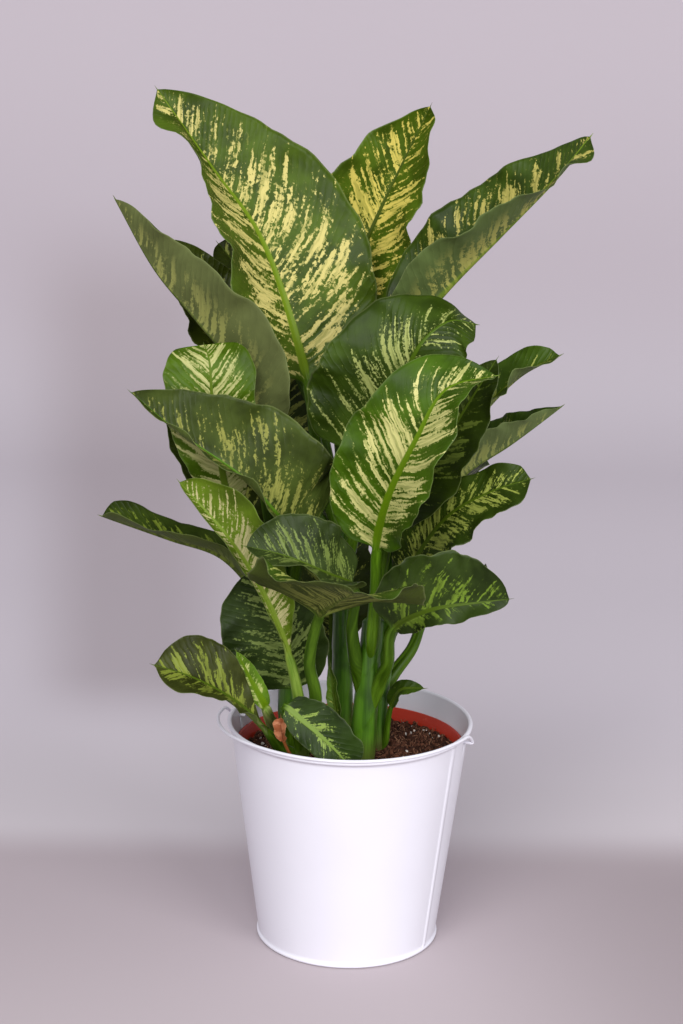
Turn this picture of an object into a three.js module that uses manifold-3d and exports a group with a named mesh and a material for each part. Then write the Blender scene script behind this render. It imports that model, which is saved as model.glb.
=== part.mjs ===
// A potted dieffenbachia: five canes with their leaves in a terracotta nursery pot of soil,
// which stands in a white sheet-metal bucket with a wire bail.
// Millimetres, +Z up, origin at the middle of the bucket's foot, -Y towards the front.
import * as THREE from "three";
import { mergeVertices } from "three/addons/utils/BufferGeometryUtils.js";
import Module from "manifold-3d";

const wasm = await Module();
wasm.setup();

const gap = 0.35; // clearance between neighbouring pieces

// Driving dimensions

const bucket = {
  height: 231.5,
  topRadius: 121.4, // outside of the wall under the rim
  baseRadius: 91.4, // outside of the wall at the foot
  wall: 1,
  floor: 2,
  rimBead: 2.3,
  rimOverhang: 1.2, // of the rim bead's middle over the wall
  footBead: 2,
  footRise: 0.6, // of the foot bead over the ground
  sides: 48,
  earHeight: 221,
  earTurn: -17, // degrees from +X to the right-hand ear
  earHole: 2.1,
  earReach: 8, // how far the bail's ends show outside the wall
  earTail: 7, // and inside it
};

const bail = {
  wire: 1.6,
  rideHeight: 11.6, // of the wire's middle above the ear axis where it lies on the rim
  rideRadius: 125.6,
  leftBow: 8, // how far the wire stands off the rim at the left
  bowStart: 18, // the step along the bail where it leaves the rim
  endFlare: 2.6, // how much wider the bail is just above its ears
  steps: 30,
  sweepSteps: 60,
};

const nursery = {
  lipHeight: 207.5,
  lipRadius: 116,
  lipBand: 8, // height of the turned lip
  baseRadius: 84,
  wall: 1.5,
  floor: 1.65,
  sides: 48,
};

const soil = {
  level: 194,
  mound: 9,
  moundAt: [55, -5],
  moundSpread: 3200,
  grain: 2.2, // height of the clods
  play: 0.6, // between the soil and the pot's wall
  holePlay: 0.65, // between the soil and a cane
  rings: 9,
  sides: 40,
};

// Canes: where each stands on the soil, its top and its radius at both ends

const caneSink = 28; // how deep a cane stands in the soil
const scarSpacing = 34;
const scarHeight = 5;
const caneSides = 10;
const canes = {
  main: { foot: [11, -33, 190], top: [22, -42, 352], radius: [14, 11] },
  right: { foot: [27, -6, 190], top: [43, -2, 420], radius: [7.5, 8] },
  back: { foot: [-8, 30, 190], top: [-10, 28, 480], radius: [12, 9] },
  left: { foot: [-62, 2, 190], top: [-66, 6, 400], radius: [11, 8] },
  shoot: { foot: [-46, -50, 190], top: [-50, -55, 262], radius: [8, 7] },
};

// Leaves. on: the cane, the height and the direction (degrees from +X) where the stalk leaves it.
// stalk: points the stalk passes; rib: points of the midrib from the blade's base to its tip.
// face, faceTip: where the upper side looks at the base and at the tip. belly: the widest place.
// left, right: half width, fold out of the blade's plane at base and tip, curl to the edge (degrees).
// rise: how fast the blade widens from its base. wave: height, number and phase of the edge's waves.

const leaves = [
  {
    name: "leaf_top_left",
    on: ["back", 440, 195], stalk: [[-38, 40, 505]],
    rib: [[-48, 45, 567], [-97, 70, 709], [-144, 80, 774], [-198, 70, 852]],
    face: [0.2, -0.9, 0.4], belly: 0.37, rise: 0.47,
    left: [86, 28, 66, 10], right: [99, 8, 0, 15], wave: [4, 3, 0],
  },
  {
    name: "leaf_top_middle",
    on: ["back", 470, 90], stalk: [[-20, 80, 550]],
    rib: [[-30, 115, 606], [0, 125, 678], [21, 130, 729], [71, 134, 837]],
    face: [0, -0.95, 0.25], belly: 0.38, rise: 0.45,
    left: [78, 10, 30, 20], right: [62, 20, 50, 20], wave: [5, 3, 0.3],
  },
  {
    name: "leaf_top_right",
    on: ["right", 410, 80], stalk: [[48, 30, 540]],
    rib: [[52, 35, 620], [86, 30, 665], [138, 22, 721], [192, 12, 780], [219, 8, 816]],
    face: [-0.75, -0.15, 0.65], belly: 0.36, rise: 0.42,
    left: [68, 42, 22, 20], right: [54, 78, -5, 20], wave: [6, 3, 0.1],
  },
  {
    name: "leaf_centre_upper",
    on: ["back", 400, -60], stalk: [[6, 0, 450]],
    rib: [[20, -14, 500], [42, -30, 570], [61, -42, 622], [89, -35, 644], [114, -25, 640]],
    face: [-0.1, -0.95, 0.2], faceTip: [0.1, -0.3, 0.95], belly: 0.32, rise: 0.34,
    left: [86, 5, 0, 15], right: [60, 0, -25, 10], wave: [5, 3, 0],
  },
  {
    name: "leaf_centre_front",
    on: ["main", 340, -90], stalk: [[23, -58, 385]],
    rib: [[23, -66, 426], [33, -84, 481], [57, -103, 541], [84, -104, 590], [130, -92, 602]],
    face: [-0.2, -0.95, 0.2], faceTip: [0.1, -0.25, 0.95], belly: 0.42, rise: 0.58,
    left: [64, 15, 20, 20], right: [56, 48, 8, 10], wave: [4, 3, 0.2],
  },
  {
    name: "leaf_behind_front",
    on: ["main", 335, 90], stalk: [[30, -12, 395]],
    rib: [[40, -28, 444], [70, -50, 500], [100, -58, 556], [132, -62, 612]],
    face: [-0.3, -0.9, 0.3], belly: 0.42,
    left: [37, 20, 20, 20], right: [38, 10, 5, 20], wave: [3, 3, 0.4],
  },
  {
    name: "leaf_right_wavy",
    on: ["right", 390, -20], stalk: [[62, -12, 440]],
    rib: [[71, -10, 472], [110, -12, 535], [158, -17, 589], [195, -25, 611]],
    face: [-0.5, -0.3, 0.8], belly: 0.4,
    left: [36, 40, 20, 20], right: [40, 30, 20, 20], wave: [7, 3.5, 0.1],
  },
  {
    name: "leaf_right_back",
    on: ["right", 350, 40], stalk: [[66, 28, 400]],
    rib: [[79, 40, 442], [111, 42, 480], [155, 35, 512], [204, 25, 552]],
    face: [-0.55, -0.1, 0.8], belly: 0.35,
    left: [44, 30, 30, 10], right: [46, 55, 45, 10], wave: [2, 3, 0.1],
  },
  {
    name: "leaf_right_middle",
    on: ["main", 320, 10], stalk: [[46, -32, 350]],
    rib: [[50, -36, 379], [67, -46, 422], [94, -64, 463], [133, -80, 490], [166, -90, 504]],
    face: [-0.3, -0.8, 0.5], belly: 0.4, rise: 0.42,
    left: [30, 0, 0, 15], right: [46, 15, 15, 20], wave: [4, 3, 0.6],
  },
  {
    name: "leaf_right_low",
    on: ["main", 285, -40], stalk: [[36, -64, 312]],
    rib: [[40, -78, 350], [75, -96, 376], [123, -108, 388], [148, -113, 393]],
    face: [-0.1, -0.97, 0.25], belly: 0.46, rise: 0.42,
    left: [56, 10, 10, 15], right: [18, 20, 20, 10], wave: [3, 2.5, 0],
  },
  {
    name: "leaf_front_flat",
    on: ["shoot", 235, 0], stalk: [[-34, -66, 276], [-40, -84, 318]], sheath: 0.5,
    rib: [[-30, -112, 374], [-17, -165, 402], [2, -262, 440]],
    face: [0.12, 0.2, 0.95], belly: 0.36,
    left: [85, 12, 8, 5], right: [82, 14, 10, 5], wave: [9, 2, 0],
  },
  {
    name: "leaf_front_left",
    on: ["main", 300, 200], stalk: [[0, -64, 350]],
    rib: [[2, -78, 390], [-24, -102, 411], [-62, -118, 432], [-99, -124, 443]],
    face: [-0.2, -0.3, 0.95], belly: 0.46, rise: 0.42,
    left: [32, 8, 8, 5], right: [47, 66, 54, 10], wave: [4, 2, 0],
  },
  {
    name: "leaf_young_rolled",
    on: ["shoot", 258, -84], stalk: [[-53, -71, 290]], sheath: 0.4,
    rib: [[-59, -73, 316], [-84, -79, 382], [-118, -84, 440], [-164, -88, 495]],
    face: [0.3, -0.9, 0.3], belly: 0.66, rise: 1.1,
    left: [14, 20, 20, 60], right: [46, 25, 20, 50], wave: [0, 2, 0],
  },
  {
    name: "leaf_left_pale",
    on: ["left", 380, -120], stalk: [[-104, -34, 412]],
    rib: [[-113, -55, 437], [-123, -63, 487], [-133, -77, 557], [-137, -75, 609], [-143, -57, 621]],
    face: [0, -1, 0.1], faceTip: [0, -0.3, 0.95], belly: 0.7, rise: 1,
    left: [50, 10, 0, 15], right: [46, 5, 0, 10], wave: [3, 3, 0],
  },
  {
    name: "leaf_left_crossing",
    on: ["left", 375, -50], stalk: [[-50, -22, 430]],
    rib: [[-44, -62, 434], [-66, -84, 456], [-103, -103, 502], [-165, -116, 550], [-205, -121, 586]],
    face: [0.25, -0.95, 0.2], belly: 0.3, rise: 0.32,
    left: [20, 80, 80, 10], right: [76, 5, 5, 10], wave: [5, 3, 0],
  },
  {
    name: "leaf_upper_left",
    on: ["left", 395, 160], stalk: [[-86, -14, 465]],
    rib: [[-95, -40, 532], [-118, -48, 604], [-150, -50, 645], [-188, -50, 690], [-226, -48, 755]],
    face: [0.7, -0.2, 0.65], belly: 0.36, rise: 0.42,
    left: [58, 70, 60, 20], right: [44, 45, 40, 20], wave: [5, 3, 0.2],
  },
  {
    name: "leaf_back_left_high",
    on: ["back", 415, 120], stalk: [[-34, 85, 510]],
    rib: [[-70, 112, 588], [-110, 126, 656], [-143, 134, 696]],
    face: [0.3, -0.8, 0.4], belly: 0.5, slim: true,
    left: [40, 20, 20, 10], right: [52, 20, 20, 10], wave: [2, 3, 0.2],
  },
  {
    name: "leaf_back_left_low",
    on: ["back", 405, 190], stalk: [[-70, 45, 490]],
    rib: [[-95, 54, 540], [-136, 62, 620], [-186, 66, 706]],
    face: [0.4, -0.8, 0.4], belly: 0.42, slim: true,
    left: [45, 20, 20, 10], right: [45, 20, 20, 10], wave: [2, 3, 0.2],
  },
  {
    name: "leaf_left_dark",
    on: ["left", 330, 160], stalk: [[-88, 16, 370]],
    rib: [[-102, 28, 392], [-141, 34, 461], [-188, 36, 531]],
    face: [0.4, -0.8, 0.3], belly: 0.42, slim: true,
    left: [30, 20, 20, 10], right: [50, 20, 20, 10], wave: [2, 3, 0.2],
  },
  {
    name: "leaf_left_trough",
    on: ["left", 300, -150], stalk: [[-82, -4, 325]],
    rib: [[-88, -8, 352], [-128, -12, 402], [-181, -18, 422], [-246, -24, 445]],
    face: [0.3, -0.3, 0.9], belly: 0.6, rise: 0.5,
    left: [30, 40, 40, 10], right: [24, 30, 12, 10], wave: [4, 1.6, 0.5],
  },
  {
    name: "leaf_low_round",
    on: ["left", 225, -60], stalk: [[-52, -26, 250]],
    rib: [[-54, -30, 272], [-66, -44, 325], [-84, -54, 370], [-98, -60, 402]],
    face: [0.1, -0.9, 0.3], belly: 0.5,
    left: [59, 0, 0, 10], right: [45, 10, 10, 20], wave: [2, 2, 0],
  },
  {
    name: "leaf_low_left",
    on: ["shoot", 210, 190], stalk: [[-69, -60, 221]],
    rib: [[-79, -72, 240], [-111, -90, 278], [-149, -110, 308], [-186, -122, 325]],
    face: [0.2, -0.6, 0.75], belly: 0.45, rise: 0.85,
    left: [36, 55, 10, 20], right: [42, 20, 20, 20], wave: [3, 2, 0],
  },
  {
    name: "leaf_rim",
    on: ["shoot", 236, -115], stalk: [[-61, -75, 258]], stalkRadius: 4, sheath: 0.4,
    rib: [[-63, -81, 271], [-44, -90, 259], [-20, -97, 240], [3, -99, 215]],
    face: [-0.2, -0.8, 0.5], belly: 0.48, rise: 0.42, slim: true,
    left: [28, 10, 10, 10], right: [19, 5, 5, 10], wave: [1, 2, 0],
  },
  {
    name: "leaf_low_small",
    on: ["left", 215, 200], stalk: [[-80, -40, 244]],
    rib: [[-83, -60, 262], [-97, -68, 292], [-111, -74, 324]],
    face: [0.2, -0.8, 0.5], belly: 0.42, slim: true,
    left: [11, 20, 20, 10], right: [11, 20, 20, 10], wave: [1, 2, 0],
  },
  {
    name: "leaf_stem_small",
    on: ["main", 214, 170], stalk: [[-9, -28, 227]], stalkRadius: 4, sheath: 0.4,
    rib: [[-12, -27, 240], [-16, -26, 266], [-21, -24, 298]],
    face: [-0.3, -0.9, 0.2], belly: 0.35, slim: true,
    left: [9, 35, 30, 20], right: [9, 35, 30, 20], wave: [1, 2, 0],
  },
  {
    name: "leaf_curled_small",
    on: ["right", 208, -30], stalk: [[38, -16, 232]], stalkRadius: 2.5,
    rib: [[41, -18, 250], [51, -24, 271], [73, -30, 275]],
    face: [-0.4, -0.7, 0.6], belly: 0.42, slim: true,
    left: [10, 10, 10, 10], right: [9, 20, 20, 10], wave: [1, 2, 0],
  },
  {
    name: "sheath_dry", color: "#8a4a1c",
    on: ["shoot", 203, -110], stalk: [[-58, -80, 222]], stalkRadius: 1.5, sheath: 0.3,
    rib: [[-64, -87, 238], [-66, -89, 250], [-67, -88, 262]],
    face: [-0.3, -0.9, 0.2], belly: 0.4, slim: true,
    left: [9, 30, 30, 30], right: [9, 30, 30, 30], wave: [1, 2, 0],
  },
  {
    name: "leaf_rear_high",
    on: ["back", 430, 60], stalk: [[20, 80, 470]],
    rib: [[38, 105, 510], [46, 160, 575], [52, 215, 590]],
    face: [0, -0.6, 0.8], faceTip: [0, 0.4, 0.9], belly: 0.4,
    left: [58, 15, 15, 20], right: [58, 15, 15, 20], wave: [4, 3, 0.1],
  },
  {
    name: "leaf_rear_right",
    on: ["right", 305, 90], stalk: [[60, 45, 370]],
    rib: [[74, 70, 405], [98, 118, 455], [118, 172, 470]],
    face: [-0.2, -0.5, 0.85], faceTip: [0.1, 0.3, 0.9], belly: 0.4,
    left: [54, 15, 15, 20], right: [54, 15, 15, 20], wave: [4, 3, 0.4],
  },
  {
    name: "leaf_rear_left",
    on: ["left", 350, 100], stalk: [[-72, 66, 400]],
    rib: [[-74, 94, 468], [-70, 140, 560], [-62, 182, 640]],
    face: [0, -0.8, 0.5], belly: 0.4,
    left: [54, 15, 15, 20], right: [54, 15, 15, 20], wave: [4, 3, 0.7],
  },
  {
    name: "leaf_rear_low",
    on: ["back", 245, 110], stalk: [[-18, 58, 266]],
    rib: [[-20, 66, 290], [-22, 80, 340], [-22, 112, 396], [-20, 150, 420]],
    face: [0, -0.9, 0.4], faceTip: [0, -0.5, 0.85], belly: 0.4,
    left: [46, 15, 15, 20], right: [50, 15, 15, 20], wave: [3, 3, 0.2],
  },
  {
    name: "leaf_rear_low_right",
    on: ["right", 270, 50], stalk: [[62, 22, 300]],
    rib: [[74, 42, 326], [104, 85, 356], [132, 130, 356]],
    face: [-0.1, -0.4, 0.9], faceTip: [0.2, 0.2, 0.95], belly: 0.4, slim: true,
    left: [42, 15, 15, 20], right: [42, 15, 15, 20], wave: [3, 3, 0.6],
  },
];

// Shape helpers

const vec = (p) => new THREE.Vector3(...p);
const smooth = (x) => THREE.MathUtils.smoothstep(x, 0, 1);
const rad = THREE.MathUtils.degToRad;

// A closed surface through rings of points that all have the same count.
function loft(rings) {
  const n = rings[0].length;
  const positions = rings.flat().flatMap((p) => [p.x, p.y, p.z]);
  const index = [];
  for (let i = 0; i < rings.length - 1; i++) {
    for (let j = 0; j < n; j++) {
      const a = i * n + j;
      const b = i * n + ((j + 1) % n);
      // the diagonals on the first half of a ring mirror those of the other half
      if (j < n / 2) index.push(a, a + n, b, b, a + n, b + n);
      else index.push(a, a + n, b + n, a, b + n, b);
    }
  }
  const last = (rings.length - 1) * n;
  for (let j = 0; j < n / 2 - 1; j++) {
    const k = n - 1 - j;
    index.push(j, j + 1, k, j + 1, k - 1, k);
    index.push(last + k, last + j + 1, last + j, last + k, last + k - 1, last + j + 1);
  }
  const geometry = new THREE.BufferGeometry();
  geometry.setAttribute("position", new THREE.Float32BufferAttribute(positions, 3));
  geometry.setIndex(index);
  return geometry;
}

// Booleans

function toSolid(geometry) {
  const bare = new THREE.BufferGeometry();
  bare.setAttribute("position", geometry.getAttribute("position"));
  bare.setIndex(geometry.index);
  const merged = mergeVertices(bare, 1e-4);
  return new wasm.Manifold(
    new wasm.Mesh({
      numProp: 3,
      vertProperties: new Float32Array(merged.attributes.position.array),
      triVerts: new Uint32Array(merged.index.array),
    }),
  );
}

function toGeometry(solid) {
  const mesh = solid.getMesh();
  const geometry = new THREE.BufferGeometry();
  geometry.setAttribute("position", new THREE.BufferAttribute(mesh.vertProperties, 3));
  geometry.setIndex(new THREE.BufferAttribute(mesh.triVerts, 1));
  return geometry;
}

// Bucket, bail, nursery pot and soil

const bucketRadiusAt = (z) =>
  THREE.MathUtils.mapLinear(z, 0, bucket.height, bucket.baseRadius, bucket.topRadius);

function lathe(profile, sides) {
  const points = profile.map(([r, z]) => new THREE.Vector2(r, z));
  return new THREE.LatheGeometry(points, sides).rotateX(Math.PI / 2);
}

function bead(r, z, size, from, to, steps) {
  return Array.from({ length: steps + 1 }, (_, i) => {
    const a = rad(from + ((to - from) * i) / steps);
    return [r + size * Math.cos(a), z + size * Math.sin(a)];
  });
}

// The direction of the ear axis, and a point at a distance along it.
const earAxis = new THREE.Vector3(Math.cos(rad(bucket.earTurn)), Math.sin(rad(bucket.earTurn)), 0);
const earAt = (distance) =>
  earAxis.clone().multiplyScalar(distance).setZ(bucket.earHeight);

function makeBucket() {
  const rimZ = bucket.height - bucket.rimBead;
  const rimR = bucketRadiusAt(rimZ) + bucket.rimOverhang;
  const footZ = bucket.footBead + bucket.footRise;
  const inside = (z) => bucketRadiusAt(z) - bucket.wall;
  const profile = [
    [0, 0],
    [bucket.baseRadius - 2, 0],
    ...bead(bucketRadiusAt(footZ), footZ, bucket.footBead, -75, 75, 4),
    ...bead(rimR, rimZ, bucket.rimBead, -110, 180, 7),
    [inside(rimZ - 4), rimZ - 4],
    [inside(bucket.floor), bucket.floor],
    [0, bucket.floor],
  ];
  const shell = toSolid(lathe(profile, bucket.sides));
  const drill = new THREE.CylinderGeometry(bucket.earHole, bucket.earHole, 300, 12)
    .rotateZ(Math.PI / 2)
    .rotateZ(rad(bucket.earTurn))
    .translate(0, 0, bucket.earHeight);
  return toGeometry(shell.subtract(toSolid(drill)));
}

// The bail's wire: in through one ear, up over the rim, round the front and down to the other ear.
function makeBail() {
  const outside = bucketRadiusAt(bucket.earHeight) + bucket.earReach;
  const inside = bucketRadiusAt(bucket.earHeight) - bucket.earTail;
  const across = new THREE.Vector3(0, 0, 1).cross(earAxis).negate();
  const points = [earAt(inside), earAt((inside + outside) / 2), earAt(outside)];
  for (let i = 0; i <= bail.steps; i++) {
    const turn = (Math.PI * i) / bail.steps;
    const nearEnd = Math.min(i, bail.steps - i);
    const lift = bail.rideHeight * smooth((nearEnd + 0.35) / 1.6);
    const bowEnd = smooth((bail.steps - i + 0.6) / 4);
    const bow = bail.leftBow * smooth((i - bail.bowStart) / 7) * bowEnd;
    const flare = bail.endFlare * (1 - smooth(nearEnd / 4));
    const r = bail.rideRadius + flare + bow;
    points.push(
      earAxis
        .clone()
        .multiplyScalar(r * Math.cos(turn))
        .addScaledVector(across, r * Math.sin(turn))
        .setZ(bucket.earHeight + lift),
    );
  }
  points.push(earAt(-outside), earAt(-(inside + outside) / 2), earAt(-inside));
  const path = new THREE.CatmullRomCurve3(points);
  const section = new THREE.Shape(
    Array.from({ length: 6 }, (_, i) => {
      const a = (Math.PI * i) / 3;
      return new THREE.Vector2(bail.wire * Math.cos(a), bail.wire * Math.sin(a));
    }),
  );
  return new THREE.ExtrudeGeometry(section, { steps: bail.sweepSteps, extrudePath: path });
}

const nurseryRadiusAt = (z) =>
  THREE.MathUtils.mapLinear(z, 0, nursery.lipHeight, nursery.baseRadius, nursery.lipRadius - 1.5);

function makeNurseryPot() {
  const bottom = bucket.floor + gap;
  const inside = bottom + nursery.floor;
  const lip = nursery.lipHeight;
  const band = lip - nursery.lipBand;
  return lathe(
    [
      [0, bottom],
      [nurseryRadiusAt(bottom) - 2, bottom],
      [nurseryRadiusAt(inside), inside],
      [nurseryRadiusAt(band - 1), band - 1],
      [nursery.lipRadius, band],
      [nursery.lipRadius, lip],
      [nursery.lipRadius - nursery.wall - 0.8, lip],
      [nurseryRadiusAt(inside) - nursery.wall, inside],
      [0, inside],
    ],
    nursery.sides,
  );
}

// The soil's height: a mound at the right, a hollow at the left, and small clods.
function soilHeight(x, y) {
  const [moundX, moundY] = soil.moundAt;
  const off = (x - moundX) ** 2 + (y - moundY) ** 2;
  const mound = soil.mound * Math.exp(-off / soil.moundSpread);
  const clods = Math.sin(x * 0.31 + y * 0.17) * Math.cos(y * 0.37 - x * 0.11);
  return soil.level + mound + soil.grain * clods;
}

function makeSoil() {
  const bottom = bucket.floor + gap + nursery.floor + gap;
  const edge = nurseryRadiusAt(soil.level) - nursery.wall - soil.play;
  const positions = [0, 0, soilHeight(0, 0)];
  for (let i = 1; i <= soil.rings; i++) {
    for (let j = 0; j < soil.sides; j++) {
      const a = (2 * Math.PI * j) / soil.sides;
      const r = (edge * i) / soil.rings;
      const [x, y] = [r * Math.cos(a), r * Math.sin(a)];
      positions.push(x, y, soilHeight(x, y));
    }
  }
  const foot = nurseryRadiusAt(bottom) - nursery.wall - soil.play;
  for (let j = 0; j < soil.sides; j++) {
    const a = (2 * Math.PI * j) / soil.sides;
    positions.push(foot * Math.cos(a), foot * Math.sin(a), bottom);
  }
  positions.push(0, 0, bottom);
  const centre = 1 + (soil.rings + 1) * soil.sides;
  const index = [];
  for (let j = 0; j < soil.sides; j++) {
    const k = (j + 1) % soil.sides;
    index.push(0, 1 + j, 1 + k);
    for (let i = 0; i < soil.rings; i++) {
      const a = 1 + i * soil.sides;
      const b = a + soil.sides;
      index.push(a + j, b + j, a + k, a + k, b + j, b + k);
    }
    const last = 1 + soil.rings * soil.sides;
    index.push(centre, last + k, last + j);
  }
  const geometry = new THREE.BufferGeometry();
  geometry.setAttribute("position", new THREE.Float32BufferAttribute(positions, 3));
  geometry.setIndex(index);
  let solid = toSolid(geometry);
  for (const cane of Object.values(canes)) {
    solid = solid.subtract(toSolid(caneGeometry(cane, soil.holePlay)));
  }
  return toGeometry(solid);
}

// Canes

function caneAt(cane, z) {
  const k = (z - cane.foot[2]) / (cane.top[2] - cane.foot[2]);
  return {
    point: vec(cane.foot).lerp(vec(cane.top), k),
    radius: THREE.MathUtils.lerp(cane.radius[0], cane.radius[1], k),
  };
}

// A cane with a slight knot at each leaf scar. With extra it is the hole for the cane.
function caneGeometry(cane, extra = 0) {
  const from = cane.foot[2] - caneSink - (extra ? gap : 0);
  const heights = [from, cane.foot[2] + 8];
  for (let z = cane.foot[2] + 25; z < cane.top[2] - 8; z += scarSpacing) {
    heights.push(z, z + scarHeight);
  }
  heights.push(cane.top[2]);
  const rings = heights.map((z, i) => {
    const { point, radius } = caneAt(cane, Math.max(z, cane.foot[2]));
    point.z = z;
    const r = radius + extra + (i % 2 && i > 1 ? 0 : -0.5);
    return Array.from({ length: caneSides }, (_, j) => {
      const a = (-2 * Math.PI * j) / caneSides;
      return new THREE.Vector3(r * Math.cos(a), r * Math.sin(a), 0).add(point);
    });
  });
  return loft(rings);
}

// Leaves

// The half width along the blade as a share of the widest place.
function outline(t, belly, rise = 0.5) {
  const fall = (rise * (1 - belly)) / belly;
  const top = belly ** rise * (1 - belly) ** fall;
  return (t ** rise * (1 - t) ** fall) / top;
}

// Where the point at u (0 at the rib, 1 at the edge) of half a blade lies: out and up.
function across(width, fold, curl, u) {
  const [f, c] = [rad(fold), rad(curl)];
  return Math.abs(c) < 1e-3
    ? [width * u * Math.cos(f), width * u * Math.sin(f)]
    : [
        (width * (Math.sin(f + c * u) - Math.sin(f))) / c,
        (width * (Math.cos(f) - Math.cos(f + c * u))) / c,
      ];
}

// Where the stalk's middle starts beside its cane.
function leafFoot(leaf, stalkRadius, sheath, inset) {
  const [cane, z, turn] = leaf.on;
  const { point, radius } = caneAt(canes[cane], z);
  const out = radius + stalkRadius * (1 + sheath) + gap - inset;
  return point.add(new THREE.Vector3(out * Math.cos(rad(turn)), out * Math.sin(rad(turn)), 0));
}

const bladeStations = [0, 0.04, 0.12, 0.23, 0.35, 0.47, 0.59, 0.71, 0.83, 0.94, 1];
const stalkStations = [0, 0.35, 0.75];
const bladeThickness = 0.9;

function makeLeaf(leaf, inset = 0) {
  const stalkRadius = leaf.stalkRadius ?? 5;
  const sheath = leaf.sheath ?? 0.7;
  const us = leaf.slim ? [-1, -0.5, 0, 0.5, 1] : [-1, -0.55, -0.14, 0, 0.14, 0.55, 1];
  const foot = leafFoot(leaf, stalkRadius, sheath, inset);
  const route = [foot, ...leaf.stalk.map(vec), ...leaf.rib.map(vec)];
  const curve = new THREE.CatmullRomCurve3(route, false, "centripetal");
  curve.arcLengthDivisions = 400;
  const lengths = curve.getLengths();
  const total = curve.getLength();
  const joinShare = (1 + leaf.stalk.length) / (route.length - 1);
  const stalkLength = lengths[Math.round(joinShare * curve.arcLengthDivisions)];
  const bladeLength = total - stalkLength;
  const stations = [
    ...stalkStations.map((k) => ({ at: k * stalkLength, along: k, t: -1 })),
    ...bladeStations.map((t) => ({ at: stalkLength + t * bladeLength, along: 1, t })),
  ];
  const face = vec(leaf.face);
  const faceTip = vec(leaf.faceTip ?? leaf.face);
  const count = 2 * us.length;
  const [waveHeight, waveCount, wavePhase] = leaf.wave;

  const rings = stations.map(({ at, along, t: place }) => {
    const t = Math.max(place, 0);
    const share = Math.min(at / total, 1);
    const point = curve.getPointAt(share);
    const tangent = curve.getTangentAt(share);
    const up = face.clone().lerp(faceTip, t);
    up.addScaledVector(tangent, -up.dot(tangent)).normalize();
    const side = tangent.clone().cross(up);
    const onStalk = place < 0;
    const girth = onStalk
      ? stalkRadius * (1 + sheath * (1 - along) ** 1.5)
      : stalkRadius * 0.8 * (1 - t) ** 0.8 + 0.7;
    const round = Array.from({ length: count }, (_, j) => {
      const a = Math.PI + ((j + 0.5) * 2 * Math.PI) / count;
      return [Math.cos(a) * girth, Math.sin(a) * girth];
    });
    const top = [];
    const under = [];
    for (const u of us) {
      const [width, foldBase, foldTip, curl] = u > 0 ? leaf.right : leaf.left;
      const fold = THREE.MathUtils.lerp(foldBase, foldTip, t);
      const sign = u > 0 ? 1 : -1;
      const half = Math.max(width * outline(t, leaf.belly, leaf.rise), girth * 0.6);
      const [x, y] = across(half, fold, curl, Math.abs(u));
      const phase = waveCount * t + wavePhase + (u > 0 ? 0.31 : 0);
      const fade = Math.sqrt(4 * t * (1 - t));
      const lift = waveHeight * u * u * fade * Math.sin(2 * Math.PI * phase);
      const slope = u === 0 ? 0 : rad(fold + curl * Math.abs(u));
      const [nx, ny] = [-Math.sin(slope), Math.cos(slope)];
      const [px, py] = [x + nx * lift, y + ny * lift];
      const h = bladeThickness / 2;
      const keel = u === 0 ? girth : 0;
      top.push([sign * (px + nx * h), py + ny * h]);
      under.push([sign * (px - nx * h), py - ny * h - keel]);
    }
    const blade = [...under, ...top.reverse()];
    const mix = onStalk ? 0 : smooth(t / 0.06);
    return round.map(([x, y], j) =>
      point
        .clone()
        .addScaledVector(side, THREE.MathUtils.lerp(x, blade[j][0], mix))
        .addScaledVector(up, THREE.MathUtils.lerp(y, blade[j][1], mix)),
    );
  });
  return loft(rings);
}

// The leaf with its stalk's foot moved up to the cane that carries it.
function seatLeaf(leaf) {
  const cane = toSolid(caneGeometry(canes[leaf.on[0]]));
  const search = 20;
  let inset = 0;
  for (let pass = 0; pass < 4; pass++) {
    inset += toSolid(makeLeaf(leaf, inset)).minGap(cane, search) - gap;
  }
  return makeLeaf(leaf, inset);
}

// The part: each piece with its own material

const part = new THREE.Group();

function add(name, geometry, color, roughness, metalness = 0) {
  const material = new THREE.MeshStandardMaterial({ color, roughness, metalness });
  const mesh = new THREE.Mesh(geometry, material);
  mesh.name = name;
  part.add(mesh);
}

add("outer_pot", makeBucket(), "#ece8f0", 0.4, 0.1);
add("bail_handle", makeBail(), "#ece8f0", 0.4, 0.1);
add("nursery_pot", makeNurseryPot(), "#8c3016", 0.55);
add("soil", makeSoil(), "#33190f", 0.95);
for (const [name, cane] of Object.entries(canes)) {
  add("cane_" + name, caneGeometry(cane), "#3f6b25", 0.5);
}
for (const leaf of leaves) add(leaf.name, seatLeaf(leaf), leaf.color ?? "#3c6b22", 0.45);

export default part;
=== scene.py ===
# A potted dieffenbachia in a white sheet-metal bucket: five canes, 31 leaves and a wire bail.
# Sizes in the dictionaries are millimetres and degrees; the meshes are in metres.
from math import cos, pi, radians, sin, sqrt

import bpy
import numpy as np
from mathutils import Matrix, Vector


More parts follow.
